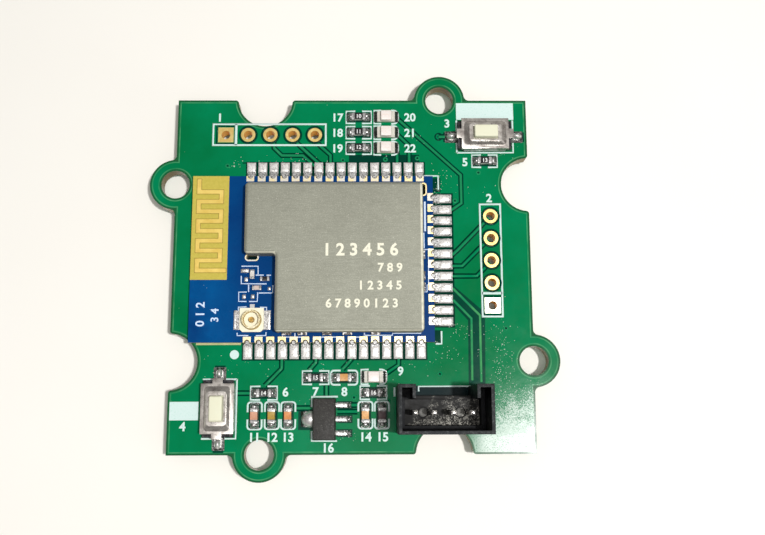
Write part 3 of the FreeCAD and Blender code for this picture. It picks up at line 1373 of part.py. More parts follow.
def check_document():
    """Stops if any object failed or any piece has a bad shape."""
    DOC.recompute()
    for thing in DOC.Objects:
        if "Invalid" in thing.State or "Error" in thing.State:
            raise RuntimeError(thing.Name + " failed: " + ", ".join(thing.State))
    for piece in NODES:
        if piece.Shape.isNull() or not piece.Shape.isValid() or not piece.Shape.Solids:
            raise RuntimeError(piece.Label + " has no valid solid")


def write_parts():
    os.makedirs("parts", exist_ok=True)
    for piece in NODES:
        piece.Shape.exportStep("parts/" + piece.Label + ".step")


fill_sheet()
carrier_board()
header_rings()
module_board()
slot_rims = module_contacts()
module_solder()
aerial()
shield_can(slot_rims)
coax_receptacle()
module_chips()
under_the_can()
all_lands, all_joints = carrier_chips()
for switch_name, switch_x, switch_y, switch_turn in (
        ("wake", d.wake_x, d.wake_y, 0), ("reset", d.reset_x, d.reset_y, 90)):
    switch(switch_name, switch_x, switch_y, switch_turn)
    new_lands, new_joints = switch_lands(switch_name, switch_x, switch_y, switch_turn)
    all_lands += new_lands
    all_joints += new_joints
new_lands, new_joints = regulator()
all_lands += new_lands
all_joints += new_joints + socket()
group("carrier_lands", all_lands + module_lands())
group("carrier_solder", all_joints)
check_document()
write_parts()
print(len(NODES), "pieces written")
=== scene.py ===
"""Looks of a radio module soldered to a 40 mm carrier board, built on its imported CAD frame."""

import math
import random

import bmesh
import bpy
from bpy.props import FloatProperty, FloatVectorProperty, PointerProperty
from mathutils import Matrix, Vector


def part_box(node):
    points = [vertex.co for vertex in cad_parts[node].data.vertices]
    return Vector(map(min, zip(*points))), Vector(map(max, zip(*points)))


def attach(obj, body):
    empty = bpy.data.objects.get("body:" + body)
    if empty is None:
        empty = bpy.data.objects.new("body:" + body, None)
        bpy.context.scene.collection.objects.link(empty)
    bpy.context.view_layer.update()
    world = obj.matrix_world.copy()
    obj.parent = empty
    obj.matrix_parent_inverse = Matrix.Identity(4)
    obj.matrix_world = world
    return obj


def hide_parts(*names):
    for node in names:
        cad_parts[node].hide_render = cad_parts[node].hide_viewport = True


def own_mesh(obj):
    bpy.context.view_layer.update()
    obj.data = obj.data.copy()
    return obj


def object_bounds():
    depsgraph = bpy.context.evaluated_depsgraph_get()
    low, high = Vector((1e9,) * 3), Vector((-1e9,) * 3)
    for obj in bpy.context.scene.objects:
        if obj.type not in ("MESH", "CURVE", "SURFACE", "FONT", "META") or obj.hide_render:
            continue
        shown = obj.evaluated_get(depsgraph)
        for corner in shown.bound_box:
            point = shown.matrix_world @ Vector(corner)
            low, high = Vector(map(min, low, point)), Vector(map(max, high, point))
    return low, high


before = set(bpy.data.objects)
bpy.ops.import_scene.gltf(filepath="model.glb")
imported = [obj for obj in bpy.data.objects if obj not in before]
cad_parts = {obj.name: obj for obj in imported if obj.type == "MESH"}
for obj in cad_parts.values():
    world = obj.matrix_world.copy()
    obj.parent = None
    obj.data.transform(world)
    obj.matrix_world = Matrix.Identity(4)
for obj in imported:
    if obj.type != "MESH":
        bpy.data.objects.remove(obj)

bl_info = {
    "name": "Radio carrier board",
    "version": (1, 0, 0),
    "blender": (4, 5, 0),
    "location": "View3D > Sidebar > Radio Carrier",
    "description": "Finishes and small pieces of a carrier board with a radio module",
    "category": "Add Mesh",
}

MM = 0.001
CAD_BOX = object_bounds()
BOARD_LOW, BOARD_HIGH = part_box("carrier_board")
MODULE_LOW, MODULE_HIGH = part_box("module_board")
CAN_LOW, CAN_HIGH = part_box("shield_can")
BOARD_TOP = BOARD_HIGH.z
MODULE_TOP = MODULE_HIGH.z
CAN_TOP = CAN_HIGH.z
CARRIER = "carrier"
MASK = "carrier_mask"
# Height of a figure in the font's own units, and the least angle of an edge that gets a round.
FIGURE_RISE = 0.72
SHARP_EDGE = math.radians(30)

# Places on the boards, in millimetres from the middle of the carrier board.
HALF_SIDE = 20.0
EARS = [(-20, 10), (10, 20), (20, -10), (-10, -20)]
NOTCHES = [(-10, 20), (20, 10), (10, -20), (-20, -10)]
EAR_RADIUS = 2.9
NOTCH_RADIUS = 3.1
MOUNT_RADIUS = 1.6
HEADER_PITCH = 2.54
CONTACT_PITCH = 1.27
# The corner where the key light's glare is painted pale into the mask: its middle, and where the painted glare
# starts and stops to thin out.
GLARE_SPOT = (19.4, -18.2)
GLARE_REACH = (2.5, 10.0)
# The strip of it along the near side: from where to where it thins out, along y and along x.
GLARE_STRIP_Y = (-18.3, -16.2)
GLARE_STRIP_X = (12.2, 14.5)
NORTH_HEADER = [(-14.47 + HEADER_PITCH * step, 15.86) for step in range(5)]
EAST_HEADER = [(15.6, -3.86 + HEADER_PITCH * step) for step in range(5)]
# Rows of the module's joints: name, first joint, step, count, size of a land.
CONTACT_ROWS = [
    ("far", (-11.445, 11.65), (CONTACT_PITCH, 0), 16, (1.0, 1.72)),
    ("near", (-11.445, -8.87), (CONTACT_PITCH, 0), 16, (1.0, 1.72)),
    ("right", (10.16, -5.655), (0, CONTACT_PITCH), 12, (2.12, 1.0)),
]
# Contacts nearer than this are the near row, which is more golden.
NEAR_CONTACTS = -6.5

# Tracks on the carrier, each a run of corners.
TRACKS = [
    [(-9.0, 15.0), (-8.95, 14.3), (-8.05, 13.42), (-5.65, 13.42), (-4.0, 11.9)],
    [(-6.6, 15.2), (-5.93, 14.47), (-3.3, 12.0)],
    [(-4.3, 15.2), (-3.6, 14.47), (-2.5, 13.45), (-2.5, 12.2)],
    [(4.5, 18.42), (12.33, 11.11), (12.34, 7.81), (11.0, 6.9)],
    [(4.6, 16.45), (6.47, 14.6), (6.46, 12.2)],
    [(4.4, 14.5), (5.1, 13.8), (5.09, 12.2)],
    [(13.3, 15.66), (9.88, 15.64)],
    [(10.9, 1.6), (11.8, 2.4), (15.4, 6.1)],
    [(10.9, 0.6), (12.3, 0.6), (14.4, 2.72), (15.3, 3.6)],
    [(10.9, -0.55), (13.9, -0.55), (15.4, 0.95)],
    [(-7.7, -9.4), (-7.7, -10.75), (-9.5, -12.6)],
    [(-3.97, -9.4), (-3.97, -10.1), (-4.7, -10.95)],
    [(-0.13, -9.4), (-0.13, -9.84), (-1.05, -10.85)],
    [(5.1, -9.4), (5.1, -10.4), (3.3, -11.6)],
    [(-12.5, -13.4), (-11.0, -13.4)],
    [(-6.1, -15.03), (-4.4, -15.03)],
    [(-0.1, -14.72), (0.6, -14.72)],
    [(-1.6, -15.42), (0.6, -15.42)],
    [(-2.8, -12.5), (-2.8, -13.75)],
]
# The long double track on the right: two thin runs in a band of bare laminate.
SUPPLY_TRACKS = [
    [(11.2, -1.94), (14.15, -4.97), (14.13, -12.3)],
    [(11.2, -3.23), (13.2, -5.31), (13.14, -12.1)],
]
SUPPLY_BAND = [(11.15, -1.5), (14.72, -4.66), (14.58, -12.6), (12.74, -12.6), (12.82, -5.52), (11.15, -3.66)]
# Mask in front of the socket's slot: bare laminate darkened further with painted shade.
RECESS_PAINTED_SHADE = [(6.3, -12.66), (13.4, -12.66), (13.4, -14.4), (6.3, -14.4)]
# Patches where the pour stops, as corners.
BARE_PATCHES = [
    [(-0.4, 12.5), (7.6, 12.5), (7.6, 13.5), (-0.4, 13.5)],
    [(-12.5, 12.45), (8.15, 12.45), (8.15, 12.6), (-12.5, 12.6)],
    [(9.1, 10.75), (10.0, 10.75), (10.0, 9.1), (9.1, 9.1)],
    [(9.1, -6.6), (9.8, -6.6), (9.8, -8.1), (9.1, -8.1)],
]
# Small plated holes, and those with a ring of bare laminate.
VIAS = [(3.75, 12.95), (-1.1, 12.86), (7.4, 13.1), (11.6, 8.1), (-14.2, 12.2), (14.35, 11.4), (9.6, -11.4),
        (0.2, -13.9), (17.0, -6.4), (3.9, -14.3)]
WIDE_VIAS = [(9.88, 15.64)]

# Chips with a printed outline: node, kind of outline.
CHIP_FRAMES = [
    ("led_resistor_upper", "bracket"),
    ("led_resistor_middle", "bracket"),
    ("led_resistor_lower", "bracket"),
    ("wake_pullup_resistor", "bracket"),
    ("reset_pullup_resistor", "bracket"),
    ("mode_resistor", "bracket"),
    ("power_led_resistor", "bracket"),
    ("module_bypass_capacitor", "round"),
    ("input_capacitor_small", "round"),
    ("input_capacitor_large", "round"),
    ("reset_capacitor", "round"),
    ("output_capacitor_small", "round"),
    ("output_capacitor_large", "round"),
    ("status_led_upper_plate", "light"),
    ("status_led_middle_plate", "light"),
    ("status_led_lower_plate", "light"),
    ("power_led_plate", "light"),
]
# Plain numbers printed beside the parts: number, place, turn in degrees, height of a figure.
CARRIER_NUMBERS = [
    ("1", (-15.21, 17.95), 0, 0.95),
    ("2", (15.49, 8.43), 0, 0.95),
    ("3", (10.87, 17.26), 0, 0.95),
    ("4", (-18.30, -16.92), 0, 0.95),
    ("5", (12.85, 12.66), 0, 0.95),
    ("6", (-7.25, -13.27), 0, 0.95),
    ("7", (-3.99, -13.25), 0, 0.95),
    ("8", (-0.84, -13.25), 0, 0.95),
    ("9", (5.3, -11.05), 0, 0.95),
    ("10", (4.95, -13.3), 0, 0.95),
    ("11", (-10.55, -18.1), 0, 0.95),
    ("12", (-8.68, -18.1), 0, 0.95),
    ("13", (-6.92, -18.1), 0, 0.95),
    ("14", (1.45, -18.1), 0, 0.95),
    ("15", (3.3, -18.1), 0, 0.95),
    ("16", (-2.6, -19.25), 0, 0.95),
    ("17", (-1.75, 17.97), 0, 0.95),
    ("18", (-1.75, 16.14), 0, 0.95),
    ("19", (-1.75, 14.29), 0, 0.95),
    ("20", (6.6, 18.0), 0, 0.95),
    ("21", (6.6, 16.14), 0, 0.95),
    ("22", (6.6, 14.29), 0, 0.95),
    ("2", (-17.8, 3.4), 0, 0.6),
]
MODULE_NUMBERS = [
    ("0 1 2", (-16.64, -4.86), 90, 0.95),
    ("3 4", (-15.05, -4.98), 90, 0.85),
]
CAN_NUMBERS = [
    ("1 2 3 4 5 6", (0.95, 2.0), 0, 1.35),
    ("7 8 9", (4.15, 0.0), 0, 0.95),
    ("1 2 3 4 5", (3.05, -1.95), 0, 0.95),
    ("6 7 8 9 0 1 2 3", (1.1, -3.9), 0, 0.95),
]


def tone(red, green, blue):
    """Linear colour of a swatch given in screen values from 0 to 255."""
    def linear(value):
        value = value / 255
        return value / 12.92 if value <= 0.04045 else ((value + 0.055) / 1.055) ** 2.4
    return (linear(red), linear(green), linear(blue))


def colour(name, description, swatch):
    return FloatVectorProperty(name=name, description=description, default=tone(*swatch), subtype="COLOR",
                               size=3, min=0.0, max=1.0)


def length(name, description, size):
    return FloatProperty(name=name, description=description, default=size * MM, min=0.0,
                         unit="LENGTH", precision=5)


def share(name, description, value, top=1.0):
    return FloatProperty(name=name, description=description, default=value, min=0.0, max=top,
                         subtype="FACTOR")


class BoardLook(bpy.types.PropertyGroup):
    """Sizes and colours of the carrier board's mask, laminate and tracks."""
    mask: colour("Mask over copper", "Solder mask where copper lies under it", (0, 124, 78))
    mask_deep: colour("Mask, deeper", "Darker patches of the solder mask", (0, 108, 60))
    mask_bare: colour("Mask over laminate", "Solder mask where no copper lies under it", (0, 62, 46))
    mask_edge: colour("Mask at the outline", "Thinner mask along the outline and the holes", (104, 172, 124))
    outline: colour("Outline", "Milled rim of the board's faces", (34, 82, 50))
    mask_band: colour("Mask in the supply band", "Solder mask between the two supply tracks", (0, 78, 60))
    # Painted shade: the recess in front of the socket's slot and the places below the module's slots are
    # painted darker than bare laminate.
    mask_recess: colour("Mask in the recess", "Dark mask in front of the socket's slot", (10, 34, 36))
    mask_track: colour("Mask over a track", "Solder mask over a narrow track", (34, 134, 86))
    mask_thin: colour("Mask over a thin track", "Solder mask over the two supply tracks", (128, 200, 116))
    laminate: colour("Laminate", "Cut edge of the board", (158, 142, 100))
    laminate_dark: colour("Laminate, scorched", "Bands in the cut edge of the board", (112, 96, 62))
    pull_back: length("Copper pull-back", "Margin along the outline and the holes", 0.2)
    track: length("Track width", "Width of a track", 0.3)
    supply_track: length("Supply track width", "Width of each of the two supply tracks", 0.26)
    track_gap: length("Track gap", "Bare laminate on each side of a track", 0.17)
    mask_film: length("Mask film", "How far a track stands above the mask round it", 0.02)
    land_frame: length("Land frame", "Bare laminate round a land", 0.16)
    via_ring: length("Via ring", "Radius of a via's copper", 0.2)
    gloss: share("Mask roughness", "Roughness of the solder mask", 0.16)
    # Painted glare, not a film: how strongly the key light's glare is painted into the corner by the socket.
    haze: share("Haze", "How much of the corner by the socket is covered by dried flux", 0.66)


class LegendLook(bpy.types.PropertyGroup):
    """Sizes and colours of the printing."""
    ink: colour("Ink", "White printing ink", (208, 228, 223))
    ink_thin: colour("Thin ink", "Where the ink is thin and the mask shows through", (120, 196, 170))
    line: length("Line width", "Width of a printed line", 0.2)
    heavy_line: length("Heavy line", "Width of a header's printed box", 0.29)
    film: length("Ink film", "Thickness of the ink", 0.025)
    etch: colour("Etched mark", "Marks burnt into the can", (236, 232, 212))


class MetalLook(bpy.types.PropertyGroup):
    """Colours of bare metal."""
    gold: colour("Gold", "Gold on copper", (236, 200, 120))
    gold_pale: colour("Pale gold", "Worn or glinting gold", (246, 222, 150))
    contact: colour("Contact", "Silvery faces of the module's contacts", (222, 216, 204))
    solder: colour("Solder", "Solder, bright side", (226, 222, 218))
    blob: colour("Rounded solder", "Solder of the chips and leads", (190, 188, 186))
    solder_dull: colour("Dull solder", "Solder, grainy patches", (122, 120, 118))
    # Partly the colour of pits, partly painted shade standing for the dark slopes and lands of the solder.
    solder_dark: colour("Dark solder", "Pits and slopes of the solder", (62, 60, 58))
    crown: length("Joint crown", "Rise of the crowned solder on the module's joints", 0.14)
    crown_level: length("Crown level", "Height of the crowned solder's rim above the board", 0.1)
    tin: colour("Tin", "Tinned ends and leads", (220, 218, 214))
    can: colour("Can", "Shield can", (150, 150, 136))
    can_dark: colour("Can, dark streaks", "Brush marks of the shield can", (118, 118, 105))
    can_pale: colour("Can, pale grain", "Bright specks of the shield can", (204, 204, 188))
    # Painted highlight along the can's bent edges.
    can_edge: colour("Can, bent edge", "Bright bend along the shield can's walls", (240, 236, 214))
    tinned_gold: colour("Tinned gold", "The right header's square land", (250, 244, 224))
    # Painted reflection: the hole walls are painted bright, standing for the lit floor they reflect.
    barrel: colour("Hole wall", "Plated wall of a header hole", (255, 208, 116))
    steel: colour("Steel", "Switch covers", (192, 186, 179))
    steel_dark: colour("Dark steel", "Dull patches of the switch covers", (150, 142, 136))
    brush_pitch: length("Brush marks", "Distance between brush marks on the can", 0.06)


class ModuleLook(bpy.types.PropertyGroup):
    """Colours of the radio module's board."""
    mask: colour("Module mask", "Blue solder mask", (0, 84, 144))
    mask_deep: colour("Module mask, deeper", "Blue solder mask beside the can", (2, 52, 108))
    aerial_ground: colour("Aerial ground", "Bare laminate round the aerial", (196, 180, 84))
    aerial_deep: colour("Aerial ground, deeper", "Glass cloth under the bare laminate", (176, 162, 66))
    aerial: colour("Aerial", "Printed aerial under thin mask", (222, 188, 88))
    aerial_pale: colour("Aerial, pale", "Brighter runs of the printed aerial", (238, 208, 112))
    aerial_edge: colour("Aerial edge", "Shadow along the printed aerial", (168, 134, 52))
    ink: colour("Module ink", "Printing on the module", (206, 222, 244))
    laminate: colour("Module laminate", "Cut edge of the module's board", (196, 184, 140))
    coax_body: colour("Coaxial insulator", "Insulator of the coaxial receptacle", (244, 240, 218))
    coax_pin: colour("Coaxial pin", "Centre pin of the coaxial receptacle", (204, 160, 76))
    # Painted shade in the receptacle's gaps, and the darker patches of its pin.
    coax_groove: colour("Coaxial grooves", "Dark rings of the coaxial receptacle", (140, 112, 58))
    coax_metal: colour("Coaxial metal", "Collar of the coaxial receptacle", (206, 186, 132))


class PartLook(bpy.types.PropertyGroup):
    """Colours of the carrier's parts."""
    resistor: colour("Resistor", "Top coat of a chip resistor", (24, 23, 24))
    ceramic: colour("Ceramic", "Sides of the chips", (226, 222, 214))
    moulding: colour("Moulding", "Moulded chip bodies", (46, 44, 42))
    socket: colour("Socket", "Socket's plastic", (15, 16, 19))
    # Painted sheen and wear on the socket's top edges.
    socket_rim: colour("Socket rim", "Worn top edges of the socket", (104, 108, 108))
    socket_glint: colour("Socket glint", "Bright grains on the socket's floor", (220, 216, 204))
    switch_base: colour("Switch base", "Plastic of a switch's base", (30, 30, 33))
    button: colour("Button", "Plastic of the buttons", (222, 221, 196))
    light_lens: colour("Lens", "Lens of a light chip", (232, 224, 218))
    light_plate: colour("Light plate", "Plate of a light chip", (176, 172, 162))
    residue: colour("Residue", "Dried flux and dust", (226, 232, 222))
    # Colour of the glare painted into the corner by the socket.
    haze: colour("Haze", "Film of dried flux at the corner by the socket", (224, 236, 226))
    residue_share: share("Residue", "Share of the specks of dried flux that are laid", 1.0, 4.0)
    residue_size: length("Residue size", "Radius of the largest specks", 0.055)


class StageLook(bpy.types.PropertyGroup):
    """Floor, lights and camera."""
    floor: colour("Floor", "Plain floor", (245, 242, 235))
    sky: FloatProperty(name="Sky", description="Strength of the even light overhead", default=0.47, min=0.0)
    horizon: FloatProperty(name="Horizon", description="Strength of the even light low down", default=0.12,
                           min=0.0)
    key: FloatProperty(name="Key light", description="Power of the light on the right, in watts",
                       default=0.7, min=0.0, unit="POWER")
    fill: FloatProperty(name="Fill light", description="Power of the weak light beside the camera, in watts",
                        default=0.035, min=0.0, unit="POWER")
    window: FloatProperty(name="Window light", description="Power of the low light on the right, in watts",
                          default=0.16, min=0.0, unit="POWER")
    camera_place: FloatVectorProperty(name="Camera", description="Place of the camera", size=3,
                                      default=(0.00196, -0.01581, 0.09646), subtype="TRANSLATION",
                                      unit="LENGTH", precision=5)
    camera_tilt: FloatProperty(name="Tilt", description="Camera's tilt from straight down",
                               default=math.radians(9.722), unit="ROTATION")
    camera_lean: FloatProperty(name="Lean", description="Camera's lean to the side",
                               default=math.radians(-0.811), unit="ROTATION")
    camera_turn: FloatProperty(name="Turn", description="Camera's turn about the upright",
                               default=math.radians(-0.249), unit="ROTATION")
    lens: FloatProperty(name="Lens", description="Focal length in millimetres", default=40.55, min=1.0)


LOOKS = [
    ("carrier_board_look", BoardLook),
    ("carrier_legend_look", LegendLook),
    ("carrier_metal_look", MetalLook),
    ("carrier_module_look", ModuleLook),
    ("carrier_part_look", PartLook),
    ("carrier_stage_look", StageLook),
]


def look(kind):
    """The property group of that class, which holds the sizes and colours."""
    name = next(name for name, group in LOOKS if group is kind)
    return getattr(bpy.context.scene, name)


class Tree:
    """A node tree, with short calls to add, join and work out its nodes."""

    def __init__(self, tree, prefix):
        self.tree = tree
        self.prefix = prefix

    def add(self, kind, inputs=None, **settings):
        node = self.tree.nodes.new(self.prefix + kind)
        for key, value in settings.items():
            setattr(node, key, value)
        for socket, value in (inputs or {}).items():
            self.feed(node.inputs[socket], value)
        return node

    def feed(self, socket, value):
        if isinstance(value, bpy.types.NodeSocket):
            self.tree.links.new(value, socket)
        else:
            socket.default_value = value

    def math(self, operation, *values):
        """Result of one step of arithmetic, which both kinds of tree do with the same node."""
        node = self.tree.nodes.new("ShaderNodeMath")
        node.operation = operation
        for number, value in enumerate(values):
            self.feed(node.inputs[number], value)
        return node.outputs[0]

    def times(self, first, *others):
        for other in others:
            first = self.math("MULTIPLY", first, other)
        return first

    def plus(self, first, second):
        return self.math("ADD", first, second)

    def minus(self, first, second):
        return self.math("SUBTRACT", first, second)

    def larger(self, first, second):
        return self.math("MAXIMUM", first, second)

    def smaller(self, first, second):
        return self.math("MINIMUM", first, second)

    def under(self, value, limit):
        """1 where a value is less than the limit, else 0."""
        return self.math("LESS_THAN", value, limit)

    def over(self, value, limit):
        """1 where a value is more than the limit, else 0."""
        return self.math("GREATER_THAN", value, limit)

    def apart(self, first, second):
        """How far two values lie apart."""
        return self.math("ABSOLUTE", self.minus(first, second))


class Finish(Tree):
    """A material: one Principled shader and the patterns that feed it."""

    def __init__(self, name, base, roughness=0.5, metal=0.0, **constants):
        self.material = bpy.data.materials.new(name)
        self.material.use_nodes = True
        super().__init__(self.material.node_tree, "ShaderNode")
        self.shader = self.tree.nodes["Principled BSDF"]
        self.painted = (*base, 1.0)
        self.shader.inputs["Base Color"].default_value = self.painted
        self.shader.inputs["Roughness"].default_value = roughness
        self.shader.inputs["Metallic"].default_value = metal
        self.material.diffuse_color = self.painted
        for socket, value in constants.items():
            self.shader.inputs[socket.replace("_", " ")].default_value = value
        self.place = self.add("TexCoord").outputs["Object"]

    def stretch(self, x=1.0, y=1.0, z=1.0):
        return self.add("Mapping", {"Vector": self.place, "Scale": (x, y, z)}).outputs[0]

    def grain(self, size, detail=3.0, roughness=0.55, where=None):
        """Cloudy noise with features of that size in millimetres."""
        inputs = {"Vector": where or self.place, "Scale": 1 / (size * MM), "Detail": detail,
                  "Roughness": roughness}
        return self.add("TexNoise", inputs).outputs[0]

    def cells(self, size):
        """Distance from the nearest of many scattered points, that size apart in millimetres."""
        return self.add("TexVoronoi", {"Vector": self.place, "Scale": 1 / (size * MM)}).outputs["Distance"]

    def ramp(self, value, start, end, low=0.0, high=1.0):
        inputs = {"Value": value, "From Min": start, "From Max": end, "To Min": low, "To Max": high}
        return self.add("MapRange", inputs, clamp=True).outputs[0]

    def mix(self, factor, first, second):
        """Colour between two others."""
        node = self.add("Mix", data_type="RGBA")
        self.feed(node.inputs[0], factor)
        for socket, value in ((node.inputs[6], first), (node.inputs[7], second)):
            plain = isinstance(value, (tuple, list)) and len(value) == 3
            self.feed(socket, (*value, 1.0) if plain else value)
        return node.outputs[2]

    def part(self, axis):
        """One coordinate of the place on the object, in metres."""
        return self.add("SeparateXYZ", {"Vector": self.place}).outputs[axis]

    def from_spot(self, x, y):
        """How far a place on the object lies from an upright line through a spot, in metres."""
        flat = self.add("CombineXYZ", {"X": self.part(0), "Y": self.part(1)}).outputs[0]
        return self.add("VectorMath", {0: flat, 1: (x, y, 0.0)}, operation="DISTANCE").outputs["Value"]

    def upward(self):
        """1 on faces that look straight up, 0 on walls, -1 below."""
        normal = self.add("NewGeometry").outputs["Normal"]
        return self.add("SeparateXYZ", {"Vector": normal}).outputs[2]

    def wall(self, steepest=0.6):
        """1 on faces that stand upright, else 0."""
        return self.under(self.math("ABSOLUTE", self.upward()), steepest)

    def paint(self, value):
        """Feeds the shader's colour, and keeps it for a later layer."""
        self.painted = value
        self.feed(self.shader.inputs["Base Color"], value)

    def rough(self, size, low, high, start=0.3, end=0.7, detail=3.0):
        """Roughness that drifts between two values, in patches of that size in millimetres."""
        drift = self.ramp(self.grain(size, detail), start, end, low, high)
        self.feed(self.shader.inputs["Roughness"], drift)

    def relief(self, height, depth, strength=1.0):
        """Bumps of that depth in millimetres, on top of those made before."""
        bump = self.add("Bump", {"Height": height, "Distance": depth * MM, "Strength": strength})
        earlier = self.shader.inputs["Normal"]
        if earlier.is_linked:
            self.feed(bump.inputs["Normal"], earlier.links[0].from_socket)
        self.feed(earlier, bump.outputs[0])

    def beyond(self, axis, centre, reach):
        """1 further than reach from centre along an axis, else 0; both in metres."""
        return self.over(self.apart(self.part(axis), centre), reach)


def mottled(name, light, dark, patches, roughness=0.5, metal=0.0, bumps=(), **constants):
    """A material that drifts between two colours.

    Patches are their size, then where the drift starts and ends. Each of the bumps is a size, a
    depth and a strength. Sizes and depths are in millimetres.
    """
    finish = Finish(name, light, roughness, metal, **constants)
    size, *span = patches
    drift = finish.grain(size)
    finish.paint(finish.mix(finish.ramp(drift, *span) if span else drift, light, dark))
    for size, depth, strength in bumps:
        finish.relief(finish.grain(size), depth, strength)
    return finish


def dress(node, finish):
    """Gives a CAD node a material."""
    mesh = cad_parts[node].data
    mesh.materials.clear()
    mesh.materials.append(finish.material)


def settle(piece, body=CARRIER):
    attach(piece, body)
    return piece


def new_piece(name, mesh, finish=None):
    """Links a mesh as an object at the origin."""
    piece = bpy.data.objects.new(name, mesh)
    bpy.context.scene.collection.objects.link(piece)
    if finish:
        mesh.materials.clear()
        mesh.materials.append(finish.material)
    return piece


def mesh_of(bm, name):
    mesh = bpy.data.meshes.new(name)
    bm.to_mesh(mesh)
    bm.free()
    return mesh


def slab(bm, corners, low, high):
    """A flat plate with that outline, in millimetres, between two heights in metres."""
    if sum(a[0] * b[1] - b[0] * a[1] for a, b in zip(corners, corners[1:] + corners[:1])) < 0:
        corners = corners[::-1]
    top = [bm.verts.new((x * MM, y * MM, high)) for x, y in corners]
    bottom = [bm.verts.new((x * MM, y * MM, low)) for x, y in corners]
    bm.faces.new(top)
    bm.faces.new(bottom[::-1])
    count = len(corners)
    for number in range(count):
        after = (number + 1) % count
        bm.faces.new((bottom[number], bottom[after], top[after], top[number]))


def box_corners(x, y, width, depth):
    """Corners of a rectangle, given its middle."""
    return [(x - width / 2, y - depth / 2), (x + width / 2, y - depth / 2),
            (x + width / 2, y + depth / 2), (x - width / 2, y + depth / 2)]


def arc(x, y, radius, start, end, steps=8):
    """Corners along an arc, angles in degrees."""
    angles = [math.radians(start + (end - start) * step / steps) for step in range(steps + 1)]
    return [(x + radius * math.cos(angle), y + radius * math.sin(angle)) for angle in angles]


class Recipe(Tree):
    """A Geometry Nodes tree with named inputs, which turns a source mesh into a piece."""

    def __init__(self, name, inputs):
        super().__init__(bpy.data.node_groups.new(name, "GeometryNodeTree"), "GeometryNode")
        face = self.tree.interface
        face.new_socket("Geometry", in_out="INPUT", socket_type="NodeSocketGeometry")
        self.identifiers = {}
        for label, kind in inputs.items():
            self.identifiers[label] = face.new_socket(label, in_out="INPUT", socket_type=kind).identifier
        face.new_socket("Geometry", in_out="OUTPUT", socket_type="NodeSocketGeometry")
        self.given = self.tree.nodes.new("NodeGroupInput").outputs

    def jitter(self, geometry, amount, grain):
        """Moves every vertex a little, up to about that amount."""
        noise = self.tree.nodes.new("ShaderNodeTexNoise")
        self.feed(noise.inputs["Scale"], grain)
        self.feed(noise.inputs["Detail"], 1.0)
        centred = self.tree.nodes.new("ShaderNodeVectorMath")
        centred.operation = "SUBTRACT"
        self.feed(centred.inputs[0], noise.outputs["Color"])
        centred.inputs[1].default_value = (0.5, 0.5, 0.5)
        shift = self.tree.nodes.new("ShaderNodeVectorMath")
        shift.operation = "SCALE"
        self.feed(shift.inputs[0], centred.outputs[0])
        self.feed(shift.inputs["Scale"], amount)
        return self.add("SetPosition", {"Geometry": geometry, "Offset": shift.outputs[0]}).outputs[0]

    def below(self, level):
        """Whether a face lies below a height in metres."""
        split = self.tree.nodes.new("ShaderNodeSeparateXYZ")
        self.feed(split.inputs[0], self.add("InputPosition").outputs[0])
        return self.under(split.outputs[2], level)

    def end(self, geometry):
        whole = self.add("RealizeInstances", {"Geometry": geometry}).outputs[0]
        dressed = self.add("SetMaterial", {"Geometry": whole, "Material": self.given["Material"]}).outputs[0]
        self.feed(self.tree.nodes.new("NodeGroupOutput").inputs[0], dressed)


def evaluated_mesh(shape, **options):
    """The mesh that an object makes once its modifiers have run."""
    view = bpy.context.evaluated_depsgraph_get()
    return bpy.data.meshes.new_from_object(shape.evaluated_get(view), depsgraph=view, **options)


def grow(name, recipe, source, finish, slot=None, **values):
    """Runs a recipe on a source mesh, and settles the plain mesh object that it makes."""
    piece = new_piece(name, source)
    modifier = piece.modifiers.new(name, "NODES")
    modifier.node_group = recipe.tree
    modifier[recipe.identifiers["Material"]] = finish.material
    for label, value in values.items():
        modifier[recipe.identifiers[label]] = value
    made = evaluated_mesh(piece)
    piece.modifiers.remove(modifier)
    piece.data = made
    made.name = name
    if not made.polygons:
        raise RuntimeError("the recipe for %s made nothing" % name)
    return settle(piece)


def ribbon_recipe():
    """Flat ribbons along the source's edges."""
    recipe = Recipe("Ribbons", {"Width": "NodeSocketFloat", "Film": "NodeSocketFloat",
                                "Material": "NodeSocketMaterial"})
    given = recipe.given
    path = recipe.add("MeshToCurve", {"Mesh": given["Geometry"]}).outputs[0]
    upright = recipe.add("SetCurveNormal", {"Curve": path}, mode="Z_UP").outputs[0]
    section = recipe.add("CurvePrimitiveQuadrilateral", {"Width": given["Width"], "Height": given["Film"]})
    band = recipe.add("CurveToMesh", {"Curve": upright, "Profile Curve": section.outputs[0],
                                      "Fill Caps": True})
    recipe.end(band.outputs[0])
    return recipe


def row_recipe():
    """Copies of the source in a straight row, each a little uneven."""
    recipe = Recipe("Row", {"Count": "NodeSocketInt", "Step": "NodeSocketVector",
                            "Unevenness": "NodeSocketFloat", "Grain": "NodeSocketFloat",
                            "Material": "NodeSocketMaterial"})
    given = recipe.given
    line = recipe.add("MeshLine", {"Count": given["Count"], "Offset": given["Step"]}).outputs[0]
    copies = recipe.add("InstanceOnPoints", {"Points": line, "Instance": given["Geometry"]}).outputs[0]
    whole = recipe.add("RealizeInstances", {"Geometry": copies}).outputs[0]
    recipe.end(recipe.jitter(whole, given["Unevenness"], given["Grain"]))
    return recipe


